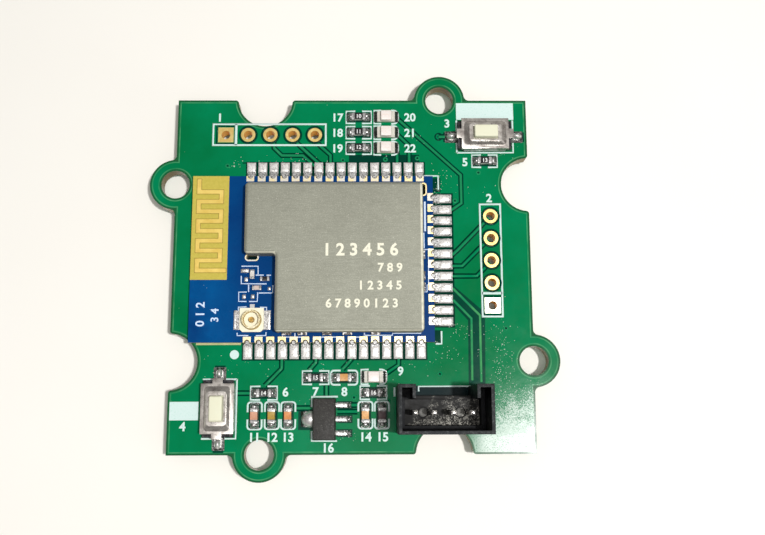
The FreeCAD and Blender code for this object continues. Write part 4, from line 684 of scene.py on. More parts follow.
def ring_recipe():
    """Flat rings on the source's points."""
    recipe = Recipe("Rings", {"Radius": "NodeSocketFloat", "Width": "NodeSocketFloat",
                              "Film": "NodeSocketFloat", "Facets": "NodeSocketInt",
                              "Material": "NodeSocketMaterial"})
    given = recipe.given
    circle = recipe.add("CurvePrimitiveCircle", {"Resolution": given["Facets"], "Radius": given["Radius"]})
    upright = recipe.add("SetCurveNormal", {"Curve": circle.outputs[0]}, mode="Z_UP").outputs[0]
    section = recipe.add("CurvePrimitiveQuadrilateral", {"Width": given["Width"], "Height": given["Film"]})
    ring = recipe.add("CurveToMesh", {"Curve": upright, "Profile Curve": section.outputs[0]}).outputs[0]
    rings = recipe.add("InstanceOnPoints", {"Points": given["Geometry"], "Instance": ring}).outputs[0]
    recipe.end(rings)
    return recipe


def speck_recipe():
    """Flattened grains of many sizes on the source's points."""
    recipe = Recipe("Specks", {"Seed": "NodeSocketInt", "Size": "NodeSocketFloat",
                               "Flatness": "NodeSocketFloat", "Material": "NodeSocketMaterial"})
    given = recipe.given
    grain = recipe.add("MeshIcoSphere", {"Radius": given["Size"], "Subdivisions": 2}).outputs[0]
    flat = recipe.tree.nodes.new("ShaderNodeCombineXYZ")
    flat.inputs[0].default_value = 1.0
    flat.inputs[1].default_value = 0.8
    recipe.feed(flat.inputs[2], given["Flatness"])
    flattened = recipe.add("Transform", {"Geometry": grain, "Scale": flat.outputs[0]}).outputs[0]
    sizes = recipe.tree.nodes.new("FunctionNodeRandomValue")
    sizes.data_type = "FLOAT"
    sizes.inputs[2].default_value = 0.15
    sizes.inputs[3].default_value = 1.0
    recipe.feed(sizes.inputs["Seed"], given["Seed"])
    turns = recipe.tree.nodes.new("FunctionNodeRandomValue")
    turns.data_type = "FLOAT_VECTOR"
    turns.inputs[0].default_value = (0.0, 0.0, 0.0)
    turns.inputs[1].default_value = (0.0, 0.0, math.tau)
    recipe.feed(turns.inputs["Seed"], given["Seed"])
    grains = recipe.add("InstanceOnPoints", {"Points": given["Geometry"], "Instance": flattened,
                                             "Rotation": turns.outputs[0], "Scale": sizes.outputs[1]})
    recipe.end(grains.outputs[0])
    return recipe


def bead_recipe():
    """Rounded drops standing on the source's points."""
    recipe = Recipe("Beads", {"Length": "NodeSocketFloat", "Width": "NodeSocketFloat",
                              "Height": "NodeSocketFloat", "Unevenness": "NodeSocketFloat",
                              "Grain": "NodeSocketFloat", "Material": "NodeSocketMaterial"})
    given = recipe.given
    ball = recipe.add("MeshIcoSphere", {"Radius": 1.0, "Subdivisions": 4}).outputs[0]
    size = recipe.tree.nodes.new("ShaderNodeCombineXYZ")
    recipe.feed(size.inputs[0], recipe.times(given["Length"], 0.5))
    recipe.feed(size.inputs[1], recipe.times(given["Width"], 0.5))
    recipe.feed(size.inputs[2], given["Height"])
    drop = recipe.add("Transform", {"Geometry": ball, "Scale": size.outputs[0]}).outputs[0]
    drops = recipe.add("InstanceOnPoints", {"Points": given["Geometry"], "Instance": drop}).outputs[0]
    whole = recipe.add("RealizeInstances", {"Geometry": drops}).outputs[0]
    uneven = recipe.jitter(whole, given["Unevenness"], given["Grain"])
    cut = recipe.add("DeleteGeometry", {"Geometry": uneven, "Selection": recipe.below(BOARD_TOP - 0.03 * MM)},
                     domain="FACE").outputs[0]
    recipe.end(recipe.add("SetShadeSmooth", {"Geometry": cut}).outputs[0])
    return recipe


def paths_mesh(name, paths, level, closed=False):
    """A mesh of edges along each path, in millimetres, at a height in metres."""
    verts, edges = [], []
    for path in paths:
        start = len(verts)
        verts += [(x * MM, y * MM, level) for x, y in path]
        edges += [(start + step, start + step + 1) for step in range(len(path) - 1)]
        if closed:
            edges.append((len(verts) - 1, start))
    mesh = bpy.data.meshes.new(name)
    mesh.from_pydata(verts, edges, [])
    return mesh


def spots_mesh(name, spots, level):
    """A mesh of points, in millimetres, at a height in metres."""
    mesh = bpy.data.meshes.new(name)
    mesh.from_pydata([(x * MM, y * MM, level) for x, y in spots], [], [])
    return mesh


def ribbons(name, paths, level, finish, width, film, slot=None, closed=False):
    """A piece of flat ribbons along paths in millimetres; its other sizes are in metres."""
    source = paths_mesh(name + "_paths", paths, level, closed)
    return grow(name, ribbon_recipe(), source, finish, slot, Width=width, Film=film)


def rings(name, spots, level, finish, radius, width, film, facets, slot=None):
    """A piece of flat rings round spots in millimetres; its other sizes are in metres."""
    source = spots_mesh(name + "_spots", spots, level)
    return grow(name, ring_recipe(), source, finish, slot, Radius=radius, Width=width, Film=film,
                Facets=facets)


def row(name, source, finish, slot, count, step, unevenness=0.0, grain=1.0):
    """A piece of copies of a mesh in a straight row, with the step in millimetres."""
    return grow(name, row_recipe(), source, finish, slot, Count=count, Unevenness=unevenness, Grain=grain,
                Step=(step[0] * MM, step[1] * MM, 0.0))


def plates(name, shapes, finish):
    """A piece of flat plates: corners in millimetres, heights of both faces in metres."""
    bm = bmesh.new()
    for corners, low, high in shapes:
        slab(bm, corners, low, high)
    return settle(new_piece(name, mesh_of(bm, name), finish))


def figures(name, entries, level, film, weight, finish):
    """A piece of upright figures as thin plates: text, place, turn in degrees and height of a figure."""
    whole = bmesh.new()
    for text, (x, y), turn, height in entries:
        curve = bpy.data.curves.new(name, "FONT")
        curve.body = text
        curve.size = 1.0
        curve.align_x = "CENTER"
        curve.extrude = 0.5
        curve.offset = weight
        curve.resolution_u = 3
        shape = bpy.data.objects.new(name, curve)
        bpy.context.scene.collection.objects.link(shape)
        mesh = evaluated_mesh(shape)
        bpy.data.objects.remove(shape)
        bpy.data.curves.remove(curve)
        size = height * MM / FIGURE_RISE
        place = (Matrix.Translation((x * MM, y * MM, level + film / 2))
                 @ Matrix.Rotation(math.radians(turn), 4, "Z")
                 @ Matrix.Diagonal((size, size, film, 1))
                 @ Matrix.Translation((0, -FIGURE_RISE / 2, 0)))
        mesh.transform(place)
        whole.from_mesh(mesh)
        bpy.data.meshes.remove(mesh)
    bmesh.ops.remove_doubles(whole, verts=whole.verts, dist=1e-7)
    bmesh.ops.recalc_face_normals(whole, faces=whole.faces)
    return settle(new_piece(name, mesh_of(whole, name), finish))


def merged_copy(node):
    """A CAD node's mesh with its loose triangles joined to plain faces."""
    bm = bmesh.new()
    bm.from_mesh(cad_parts[node].data)
    bmesh.ops.remove_doubles(bm, verts=bm.verts, dist=0.002 * MM)
    bmesh.ops.dissolve_limit(bm, angle_limit=math.radians(1.0), verts=bm.verts, edges=bm.edges)
    return bm


def eased(node, width, finish, body=CARRIER, segments=2):
    """A copy of a CAD node with small rounds on its edges, which stands for the node."""
    piece = new_piece(node + "_eased", mesh_of(merged_copy(node), node + "_eased"), finish)
    bevel = piece.modifiers.new("Small rounds", "BEVEL")
    bevel.width = width * MM
    bevel.segments = segments
    bevel.limit_method = "ANGLE"
    bevel.angle_limit = SHARP_EDGE
    bevel.use_clamp_overlap = True
    bevel.harden_normals = True
    piece.data.shade_smooth()
    made = evaluated_mesh(piece, preserve_all_data_layers=True)
    piece.modifiers.remove(bevel)
    piece.data = made
    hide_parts(node)
    return settle(piece, body)


def mask_finish(name, base, deep, roughness):
    """Glossy solder mask: slow colour drift, fine orange peel and a few dust specks."""
    finish = Finish(name, base, roughness, Specular_IOR_Level=0.05)
    drift = finish.ramp(finish.grain(9.0, 4.0, 0.6), 0.35, 0.68)
    fine = finish.grain(0.35, 3.0, 0.6)
    painted = finish.mix(drift, base, deep)
    painted = finish.mix(finish.ramp(fine, 0.55, 0.8, 0.0, 0.25), painted, deep)
    dust = finish.ramp(finish.cells(0.9), 0.035, 0.06, 1.0, 0.0)
    rare = finish.ramp(finish.grain(3.0, 1.0), 0.58, 0.62)
    finish.paint(finish.mix(finish.times(dust, rare, 0.45), painted, tone(190, 215, 200)))
    finish.rough(1.4, roughness - 0.03, roughness + 0.05)
    finish.relief(finish.grain(0.55, 2.0, 0.4), 0.006, 0.6)
    finish.relief(finish.grain(0.09, 2.0, 0.6), 0.0012, 0.7)
    return finish


def outline_depth(finish):
    """How far a place on the board lies inside its outline and holes, in metres."""
    sides = finish.larger(finish.math("ABSOLUTE", finish.part(0)), finish.math("ABSOLUTE", finish.part(1)))
    depth = finish.minus(HALF_SIDE * MM, sides)
    for x, y in EARS:
        depth = finish.larger(depth, finish.minus(EAR_RADIUS * MM, finish.from_spot(x * MM, y * MM)))
    for spots, radius in ((NOTCHES, NOTCH_RADIUS), (EARS, MOUNT_RADIUS)):
        for x, y in spots:
            depth = finish.smaller(depth, finish.minus(finish.from_spot(x * MM, y * MM), radius * MM))
    return depth


def laminate_colour(finish, light, dark, pitch=0.16):
    """Layers of glass cloth and resin in a cut edge."""
    layers = finish.ramp(finish.grain(pitch, 3.0, 0.7, finish.stretch(0.1, 0.1, 1.0)), 0.38, 0.66)
    fibres = finish.ramp(finish.grain(0.07, 3.0, 0.8), 0.4, 0.7, 0.0, 0.6)
    cloth = finish.mix(layers, light, dark)
    return finish.mix(fibres, cloth, tuple((a + b * 3) / 4 for a, b in zip(light, dark)))


def haze_mask(finish, amount):
    """Where the painted glare of the key light lies: a grainy corner and a strip along the near side."""
    near = finish.ramp(finish.from_spot(GLARE_SPOT[0] * MM, GLARE_SPOT[1] * MM),
                       GLARE_REACH[0] * MM, GLARE_REACH[1] * MM, 1.0, 0.0)
    patchy = finish.plus(near, finish.ramp(finish.grain(2.6, 4.0, 0.6), 0.3, 0.7, -0.2, 0.2))
    speckle = finish.grain(0.13, 3.0, 0.85)
    corner = finish.ramp(finish.plus(finish.times(patchy, 0.45), speckle), 0.86, 0.94)
    strip = finish.times(finish.ramp(finish.part(1), GLARE_STRIP_Y[0] * MM, GLARE_STRIP_Y[1] * MM, 1.35, 0.0),
                         finish.ramp(finish.part(0), GLARE_STRIP_X[0] * MM, GLARE_STRIP_X[1] * MM),
                         finish.ramp(speckle, 0.38, 0.46, 0.25, 1.0))
    return finish.times(finish.larger(corner, strip), amount, finish.ramp(finish.upward(), 0.5, 0.9))


class DressCarrierBoard(bpy.types.Operator):
    """Green solder mask, thinner along the outline, a painted glare of the key light in the corner by the
    socket, and cut laminate at the edges
    """
    bl_idname = "radio_carrier.board"
    bl_label = "Carrier board"

    def execute(self, context):
        board, parts = look(BoardLook), look(PartLook)
        finish = mask_finish("carrier_mask", board.mask[:], board.mask_deep[:], board.gloss)
        depth = outline_depth(finish)
        away = finish.apart(depth, board.pull_back * 1.45)
        broken = finish.ramp(finish.grain(1.8), 0.35, 0.65, 0.12, 0.6)
        line = finish.times(finish.ramp(away, 0.03 * MM, 0.08 * MM, 1.0, 0.0), broken)
        top = finish.mix(line, finish.painted, board.mask_edge[:])
        # Painted glare: the key light's speckled reflection painted pale into the mask's colour.
        top = finish.mix(haze_mask(finish, board.haze), top, parts.haze[:])
        rim = finish.ramp(depth, board.pull_back * 0.8, board.pull_back * 1.2, 0.85, 0.0)
        top = finish.mix(rim, top, board.outline[:])
        edge = laminate_colour(finish, board.laminate[:], board.laminate_dark[:])
        finish.paint(finish.mix(finish.wall(), top, edge))
        dress("carrier_board", finish)
        return {"FINISHED"}


def across(node):
    """Middle of a chip in millimetres, and whether its long side lies along x."""
    low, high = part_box(node)
    return (low.x + high.x) / 2 / MM, (low.y + high.y) / 2 / MM, high.x - low.x > high.y - low.y


def darker(swatch, share_left):
    """A colour with only a share of its light left."""
    return tuple(part * share_left for part in swatch)


# Bare laminate round the lands of switches and regulator: middle, width, depth.
DARK_LANDS = [
    (-14.4, -11.15, 1.15, 1.5),
    (-14.4, -19.0, 1.15, 1.5),
    (11.15, 15.6, 1.5, 1.15),
    (18.95, 15.6, 1.5, 1.15),
    (-4.95, -16.22, 1.75, 2.3),
    (-0.8, -14.72, 1.7, 0.85),
    (-0.8, -16.22, 1.7, 0.85),
    (-0.8, -17.72, 1.7, 0.85),
]
# Painted shade on the carrier below the module's slots: middle, width, depth.
PAINTED_SHADE_UNDER_SLOTS = [
    (-11.1, 1.6, 1.9, 1.1),
    (8.3, 8.9, 1.1, 1.9),
]
# Bare laminate below a chip, along it and across it.
CHIP_CLEARING = (2.75, 1.22)
SQUARE_CLEARING = 2.08
# Radius and width of the rings round a header's hole, and of the rings and pits of the small holes.
HEADER_RING = (0.95, 0.26)
WIDE_VIA_RING = (0.4, 0.17)
VIA_PIT = (0.07, 0.13)
VIA_COPPER = 0.16


def mask_plates(outlines, film, rise):
    """Plates that stand above the board by a share of the mask's film, other than what they cross."""
    return [(corners, BOARD_TOP - film, BOARD_TOP + film * rise) for corners in outlines]


def lay_runs(board, over_laminate, over_copper):
    """Tracks in their gaps, and the two supply tracks on their band."""
    film = board.mask_film
    raised = BOARD_TOP + film * 0.3
    over_thin = mask_finish("mask_over_thin_track", board.mask_thin[:], board.mask_track[:], board.gloss)
    over_band = mask_finish("mask_over_band", board.mask_band[:], board.mask_bare[:], board.gloss)
    ribbons("track_gaps", TRACKS, BOARD_TOP, over_laminate, board.track + board.track_gap * 2, film * 0.7,
            MASK)
    ribbons("tracks", TRACKS, raised, over_copper, board.track, film, MASK)
    ribbons("supply_tracks", SUPPLY_TRACKS, raised, over_thin, board.supply_track, film * 1.4, MASK)
    plates("supply_band", mask_plates([SUPPLY_BAND], film, 0.38), over_band)


def lay_patches(board, over_laminate):
    """Places without copper: round square lands, below chips and round all lands; and plates of painted shade,
    over bare laminate in the recess, and below the module's slots.
    """
    film = board.mask_film
    squares = [box_corners(x, y, SQUARE_CLEARING, SQUARE_CLEARING)
               for x, y in (NORTH_HEADER[0], EAST_HEADER[0])]
    ribbons("square_land_frames", squares, BOARD_TOP, over_laminate, board.land_frame * 1.4, film * 0.7, MASK,
            closed=True)
    # Painted shade in the recess and below the module's slots.
    painted_shade_finish = mask_finish("mask_in_recess", board.mask_recess[:], darker(board.mask_recess, 0.6),
                            board.gloss)
    dark = [RECESS_PAINTED_SHADE] + [box_corners(*place) for place in PAINTED_SHADE_UNDER_SLOTS]
    plates("socket_recess", mask_plates(dark, film, 0.3), painted_shade_finish)
    below_chips = []
    for node, _ in CHIP_FRAMES:
        x, y, along = across(node)
        below_chips.append(box_corners(x, y, *(CHIP_CLEARING if along else CHIP_CLEARING[::-1])))
    round_leads = [box_corners(*land) for land in DARK_LANDS]
    shapes = (mask_plates(BARE_PATCHES, film, 0.3) + mask_plates(below_chips, film, 0.35)
              + mask_plates(round_leads, film, 0.32))
    plates("bare_patches", shapes, over_laminate)
    margin = board.land_frame / MM * 2
    for name, (x, y), step, count, (width, depth) in CONTACT_ROWS:
        bm = bmesh.new()
        for shape in mask_plates([box_corners(x, y, width + margin, depth + margin)], film, 0.35):
            slab(bm, *shape)
        row(name + "_land_frames", mesh_of(bm, name + "_frame"), over_laminate, MASK, count, step)


class LayTracks(bpy.types.Operator):
    """Tracks under the mask, each between two strips of bare laminate, and the bare frames of the lands"""
    bl_idname = "radio_carrier.tracks"
    bl_label = "Tracks"

    def execute(self, context):
        board = look(BoardLook)
        film = board.mask_film
        over_laminate = mask_finish("mask_over_laminate", board.mask_bare[:], darker(board.mask_bare, 0.7),
                                    board.gloss)
        over_copper = mask_finish("mask_over_copper", board.mask_track[:], board.mask[:], board.gloss)
        lay_runs(board, over_laminate, over_copper)
        lay_patches(board, over_laminate)
        radius, width = HEADER_RING
        rings("header_clearances", NORTH_HEADER[1:] + EAST_HEADER[1:], BOARD_TOP, over_laminate, radius * MM,
              width * MM, film * 4.4, 40, MASK)
        rings("vias", VIAS, BOARD_TOP, over_copper, board.via_ring, VIA_COPPER * MM, film * 1.4, 20, MASK)
        radius, width = WIDE_VIA_RING
        rings("via_clearances", WIDE_VIAS, BOARD_TOP, over_laminate, radius * MM, width * MM, film * 1.2, 28,
              MASK)
        radius, width = VIA_PIT
        rings("via_pits", VIAS + WIDE_VIAS, BOARD_TOP, over_laminate, radius * MM, width * MM, film, 16, MASK)
        return {"FINISHED"}


# Printed boxes round the two headers, and the line beside the first hole of each.
HEADER_BOXES = [
    [(-15.92, 14.64), (-3.06, 14.64), (-3.06, 17.14), (-15.92, 17.14)],
    [(14.45, -5.1), (16.69, -5.1), (16.73, 7.68), (14.4, 7.68)],
]
HEADER_DIVIDERS = [
    [(-13.32, 14.64), (-13.32, 17.14)],
    [(14.45, -2.49), (16.7, -2.49)],
]
# Thinner lines printed on the carrier.
LEGEND_LINES = [
    [(8.15, 11.0), (9.75, 11.0), (9.75, 9.4)],
    [(9.2, -8.1), (9.85, -8.1), (9.85, -6.7)],
    [(11.95, 13.75), (18.4, 13.75), (18.4, 17.6)],
    [(11.95, 13.75), (11.95, 17.6)],
    [(-12.55, -11.9), (-12.55, -18.25), (-16.25, -18.25)],
    [(-16.25, -11.9), (-12.55, -11.9)],
    [(-4.38, -14.93), (-4.38, -13.81), (-1.55, -13.81)],
    [(-4.36, -17.5), (-4.36, -18.54), (-1.62, -18.54)],
    [(6.72, -12.63), (6.72, -13.22)],
    [(7.25, -13.28), (7.25, -12.74), (12.95, -12.74), (12.95, -13.36)],
]
# White fields beside the switches: middle, width, depth.
LEGEND_BLOCKS = [
    (15.23, 18.68, 6.6, 2.0),
    (-18.2, -15.29, 3.13, 1.98),
]
# Dot at the module's first contact: middle and radius.
LEGEND_DOT = (-12.89, -9.22, 0.5)
# Halves of a chip's printed outline: side, half gap, half length, half width, bend, steps of the bend.
OUTLINES = {
    "bracket": [(-1, 0.39, 1.44, 0.73, 0.0, 0), (1, 0.39, 1.44, 0.73, 0.0, 0)],
    "round": [(-1, 0.39, 1.44, 0.77, 0.3, 4), (1, 0.39, 1.44, 0.77, 0.3, 4)],
    "light": [(-1, 0.55, 1.38, 0.8, 0.0, 0), (1, 0.6, 1.38, 0.8, 0.55, 5)],
}


def ink_finish(name, ink, thin):
    """Printing ink, thin in places."""
    finish = Finish(name, ink, 0.7, Specular_IOR_Level=0.15)
    weak = finish.ramp(finish.grain(0.16, 3.0, 0.7), 0.55, 0.75, 0.0, 0.5)
    finish.paint(finish.mix(weak, ink, thin))
    finish.relief(finish.grain(0.1, 2.0), 0.004, 0.5)
    return finish


def half_outline(side, gap, length, width, bend, steps):
    """One half of a printed outline, open at the chip's middle, with bent or square corners."""
    corners = [(length, width), (length, -width)]
    if bend:
        corners = (arc(length - bend, width - bend, bend, 90, 0, steps)
                   + arc(length - bend, bend - width, bend, 0, -90, steps))
    return [(side * x, y) for x, y in [(gap, width)] + corners + [(gap, -width)]]


def chip_outline(node, kind):
    """Printed lines round a chip, laid along its long side."""
    x, y, along = across(node)
    shapes = [half_outline(*half) for half in OUTLINES[kind]]
    if not along:
        shapes = [[(-b, a) for a, b in shape] for shape in shapes]
    return [[(x + a, y + b) for a, b in shape] for shape in shapes]


class PrintLegend(bpy.types.Operator):
    """White printing on the carrier board: boxes, brackets, blocks and plain numbers"""
    bl_idname = "radio_carrier.legend"
    bl_label = "Carrier printing"

    def execute(self, context):
        legend = look(LegendLook)
        film = legend.film
        level = BOARD_TOP + film / 2
        ink = ink_finish("legend_ink", legend.ink[:], legend.ink_thin[:])
        ribbons("header_boxes", HEADER_BOXES, level, ink, legend.heavy_line, film, closed=True)
        ribbons("header_dividers", HEADER_DIVIDERS, level, ink, legend.heavy_line, film)
        lines = LEGEND_LINES + [line for node, kind in CHIP_FRAMES for line in chip_outline(node, kind)]
        ribbons("legend_lines", lines, level, ink, legend.line, film)
        blocks = [box_corners(*block) for block in LEGEND_BLOCKS] + [arc(*LEGEND_DOT, 0, 345, 23)]
        plates("legend_blocks", [(corners, BOARD_TOP - film, BOARD_TOP + film) for corners in blocks], ink)
        figures("legend_numbers", CARRIER_NUMBERS, BOARD_TOP, film, 0.03, ink)
        return {"FINISHED"}


def gold_finish():
    """Gold of the header rings, with tin on the square land of the right row, and hole walls painted bright
    and less metallic: a painted reflection of the lit floor.
    """
    metal = look(MetalLook)
    finish = Finish("bare_copper_gold", metal.gold[:], 0.35, 0.75)
    worn = finish.ramp(finish.grain(0.5), 0.4, 0.7)
    wall = finish.wall(0.5)
    rim = finish.mix(worn, metal.gold[:], metal.gold_pale[:])
    tinned = finish.under(finish.part(1), (EAST_HEADER[0][1] + HEADER_PITCH / 2) * MM)
    rim = finish.mix(tinned, rim, metal.tinned_gold[:])
    # Hole walls: a painted reflection, bright and less metallic.
    finish.paint(finish.mix(wall, rim, metal.barrel[:]))
    finish.feed(finish.shader.inputs["Metallic"], finish.ramp(wall, 0.0, 1.0, 0.75, 0.1))
    finish.rough(0.2, 0.28, 0.42, detail=2.0)
    finish.relief(finish.grain(0.2, 2.0), 0.004, 0.3)
    return finish


def contact_finish():
    """The module's contacts: mostly silvery, gold here and there and along the near side."""
    metal = look(MetalLook)
    finish = Finish("contact_metal", metal.contact[:], 0.4, 0.55)
    golden = finish.ramp(finish.grain(1.3, 2.0), 0.46, 0.6, 0.0, 0.9)
    near = finish.under(finish.part(1), NEAR_CONTACTS * MM)
    golden = finish.larger(golden, finish.times(near, 0.55))
    painted = finish.mix(golden, metal.contact[:], metal.gold_pale[:])
    pits = finish.ramp(finish.grain(0.1, 3.0, 0.7), 0.6, 0.75, 0.0, 0.6)
    finish.paint(finish.mix(pits, painted, metal.solder_dark[:]))
    finish.relief(finish.grain(0.15), 0.012, 0.6)
    return finish


def solder_finish(name, light, dark, dark_share=0.5, size=0.2, depth=0.03, metal=0.9):
    """Solder with dark patches between its bright places: pits and grains, and painted shade."""
    finish = Finish(name, light, 0.3, metal)
    middle = 0.68 - dark_share * 0.36
    patches = finish.ramp(finish.grain(size, 5.0, 0.75), middle - 0.05, middle + 0.08)
    finish.paint(finish.mix(patches, light, dark))
    finish.rough(size * 1.5, 0.22, 0.45, 0.35, 0.65)
    finish.relief(finish.grain(size * 1.6, 4.0, 0.6), depth, 0.9)
    return finish


def tin_finish():
    """Tinned leads and terminals."""
    metal = look(MetalLook)
    finish = mottled("tin", metal.tin[:], metal.solder_dull[:], (0.25, 0.4, 0.62), 0.3, 0.8,
                     [(0.2, 0.012, 0.6)])
    finish.rough(0.15, 0.2, 0.4)
    return finish


def cushion(name, x, y, width, depth, height, level, steps=10):
    """A low pillow standing on a surface: sizes in millimetres, the surface's height in metres."""
    bm = bmesh.new()
    grid = []
    for line in range(steps + 1):
        v = line / steps * 2 - 1
        grid.append([])
        for column in range(steps + 1):
            u = column / steps * 2 - 1
            rise = (1 - abs(u) ** 5) * (1 - abs(v) ** 5)
            spot = ((x + u * width / 2) * MM, (y + v * depth / 2) * MM, level + height * rise * MM)
            grid[-1].append(bm.verts.new(spot))
    for lower, upper in zip(grid, grid[1:]):
        for column in range(steps):
            corners = (lower[column], lower[column + 1], upper[column + 1], upper[column])
            bm.faces.new(corners).smooth = True
    return mesh_of(bm, name)


def chip_ends(along, kind, reach):
    """Middles of the lands of all chips that lie that way and have that kind of outline."""
    spots = []
    for node, outline in CHIP_FRAMES:
        x, y, lies_along = across(node)
        if outline == kind and lies_along == along:
            spots += [(x - reach, y), (x + reach, y)] if along else [(x, y - reach), (x, y + reach)]
    return spots


# Crowned solder on the module's joints: name, first one's middle, its size, step, count.
JOINT_CROWNS = [
    ("far", (-11.445, 11.93), (0.97, 1.22), (CONTACT_PITCH, 0), 16),
    ("near", (-11.445, -8.95), (0.97, 1.55), (CONTACT_PITCH, 0), 16),
    ("right", (10.38, -5.655), (1.58, 0.93), (0, CONTACT_PITCH), 12),
]
# Rounded solder of the chips: name, places, length along x, width along y, height.
CHIP_BEADS = [
    ("resistor_beads", chip_ends(True, "bracket", 0.93), (0.72, 0.95, 0.5)),
    ("bypass_beads", chip_ends(True, "round", 0.95), (0.85, 1.0, 0.78)),
    ("capacitor_beads", chip_ends(False, "round", 0.95), (1.0, 0.88, 0.78)),
]
TAB_BEADS = [("tab_bead", [(-4.5, -16.22)], (2.0, 1.85, 1.0))]
LEAD_BEADS = [("lead_beads", [(-0.32, -14.72), (-0.32, -16.22), (-0.32, -17.72)], (0.5, 0.6, 0.42))]
TERMINAL_BEADS = [
    ("wake_terminal_beads", [(11.3, 15.6), (18.85, 15.6)], (1.2, 0.66, 0.72)),
    ("reset_terminal_beads", [(-14.4, -11.3), (-14.4, -18.8)], (0.66, 1.2, 0.72)),
]


def lay_beads(beads, finish, unevenness):
    """Rounded drops of solder standing on the board, uneven by that many millimetres."""
    for name, spots, values in beads:
        sizes = dict(zip(("Length", "Width", "Height"), (value * MM for value in values)))
        grow(name, bead_recipe(), spots_mesh(name + "_spots", spots, BOARD_TOP + 0.01 * MM), finish, "solder",
             Unevenness=unevenness * MM, Grain=1 / (0.7 * MM), **sizes)


class DressMetal(bpy.types.Operator):
    """Gold rings, contacts, tinned lands, and the solder crowned over the module's joints"""
    bl_idname = "radio_carrier.metal"
    bl_label = "Lands and solder"

    def execute(self, context):
        metal = look(MetalLook)
        gold = gold_finish()
        for node in ("north_header_rings", "east_header_rings"):
            dress(node, gold)
        dress("module_contacts", contact_finish())
        bright, blob, dull, dark = metal.solder[:], metal.blob[:], metal.solder_dull[:], metal.solder_dark[:]
        # The chip lands are painted dark grey: painted shade and dark reflection over grainy solder.
        lands = solder_finish("dark_solder", dull, dark, 0.6, 0.16)
        for node in ("carrier_lands", "carrier_solder"):
            dress(node, lands)
        dress("module_solder", solder_finish("module_solder", blob, dark, 0.45, 0.15, 0.02, 0.5))
        joints = solder_finish("bright_solder", bright, dull, 0.3, 0.16, 0.02, 0.3)
        for name, (x, y), (width, depth), step, count in JOINT_CROWNS:
            crown = cushion(name + "_crown", x, y, width, depth, metal.crown / MM,
                            BOARD_TOP + metal.crown_level)
            row(name + "_joint_crowns", crown, joints, "solder", count, step, metal.crown * 0.6,
                1 / (0.9 * MM))
        eased("regulator_leads", 0.07, tin_finish())
        dress("socket_pins", mottled("pin_tin", bright, metal.tin[:], (0.3, 0.4, 0.7), 0.28, 0.85,
                                     [(0.2, 0.008, 0.5)]))
        grainy = solder_finish("blob_solder", blob, dark, 0.4, 0.25, 0.04)
        calm = solder_finish("calm_solder", bright, blob, 0.4, 0.5, 0.015, 0.7)
        lay_beads(CHIP_BEADS, grainy, 0.12)
        lay_beads(TAB_BEADS, calm, 0.05)
        lay_beads(LEAD_BEADS, grainy, 0.12)
        lay_beads(TERMINAL_BEADS, calm, 0.05)
        return {"FINISHED"}


def top_rim(node):
    """Runs along the edges where a CAD node's top faces end, in millimetres."""
    bm = merged_copy(node)
    rim = []
    for edge in bm.edges:
        tilts = sorted(face.normal.z for face in edge.link_faces)
        if len(tilts) == 2 and tilts[0] < 0.5 < tilts[1]:
            rim.append([(vert.co.x / MM, vert.co.y / MM) for vert in edge.verts])
    bm.free()
    return rim


# Lines printed on the module.
MODULE_LINES = [
    [(-12.2, 0.46), (-10.38, 0.46), (-10.36, -0.45)],
    [(-10.61, -0.54), (-9.74, -0.54)],
    [(-9.42, -0.55), (-8.96, -0.55)],
    [(-12.21, -0.64), (-12.2, -1.5), (-9.4, -1.52)],
    [(-11.38, -1.6), (-11.37, -2.42)],
    [(-11.58, -2.42), (-12.45, -2.42), (-12.43, -3.46), (-11.56, -3.47)],
    [(-10.37, -2.45), (-10.39, -3.47), (-11.29, -3.47)],
    [(-10.25, -2.53), (-8.74, -2.53), (-8.7, -1.66)],
    [(-12.44, -4.65), (-12.45, -4.08), (-11.55, -4.06)],
    [(-10.08, -4.1), (-9.36, -4.12), (-9.36, -4.58)],
    [(-12.52, -6.9), (-12.51, -7.21), (-11.29, -7.21)],
    [(-10.48, -7.22), (-9.38, -7.22), (-9.38, -6.86)],
    [(-10.9, 1.95), (-8.95, 1.95)],
    [(-7.6, -6.95), (-7.59, -7.39), (-4.92, -7.4)],
    [(-6.23, -6.95), (-6.23, -7.39)],
    [(-3.94, -7.4), (-1.1, -7.4)],
    [(-0.12, -7.41), (1.35, -7.41), (1.35, -6.95)],
    [(1.35, -7.22), (4.41, -7.22), (4.42, -7.0), (7.54, -7.0)],
    [(7.98, 4.21), (8.0, 2.45)],
    [(7.86, 2.3), (8.47, 2.3), (8.44, -1.66), (8.28, -1.68), (8.27, -2.44), (7.86, -2.44)],
]
# A wider printed bar: middle, width, depth.
MODULE_BAR = (8.13, 6.07, 0.2, 3.4)
# Ragged laminate left along the module's near edge: middle, width, depth.
MODULE_BURR = (-14.65, MODULE_LOW.y / MM - 0.1, 4.9, 0.2)
# Tinned lands beside the matching parts: middle, width, depth.
SPARE_LANDS = [
    (-11.83, -0.05, 0.88, 0.45),
    (-11.67, -1.03, 0.42, 0.5),
    (-11.86, -2.94, 0.42, 0.5),
    (-10.9, -2.94, 0.42, 0.5),
    (-9.1, -2.05, 0.36, 0.42),
    (-10.89, -3.92, 0.5, 0.3),
    (-12.75, -5.5, 0.4, 2.1),
    (-9.08, -5.5, 0.4, 2.1),
]
# Right and near side of the field round the aerial, and where the mask darkens toward the can.
AERIAL_FIELD = (-13.8, -1.05)
MASK_DRIFT = (-15.5, -12.0)
# Dark rings of painted shade in the receptacle's gaps: name, radius, width.
COAX_SHADE_RINGS = [
    ("coax_outer_groove", 1.05, 0.11),
    ("coax_inner_groove", 0.84, 0.06),
    ("coax_pin_groove", 0.3, 0.09),
]
# Top of the receptacle's soldered tabs.
TAB_TOP = MODULE_TOP + 0.25 * MM


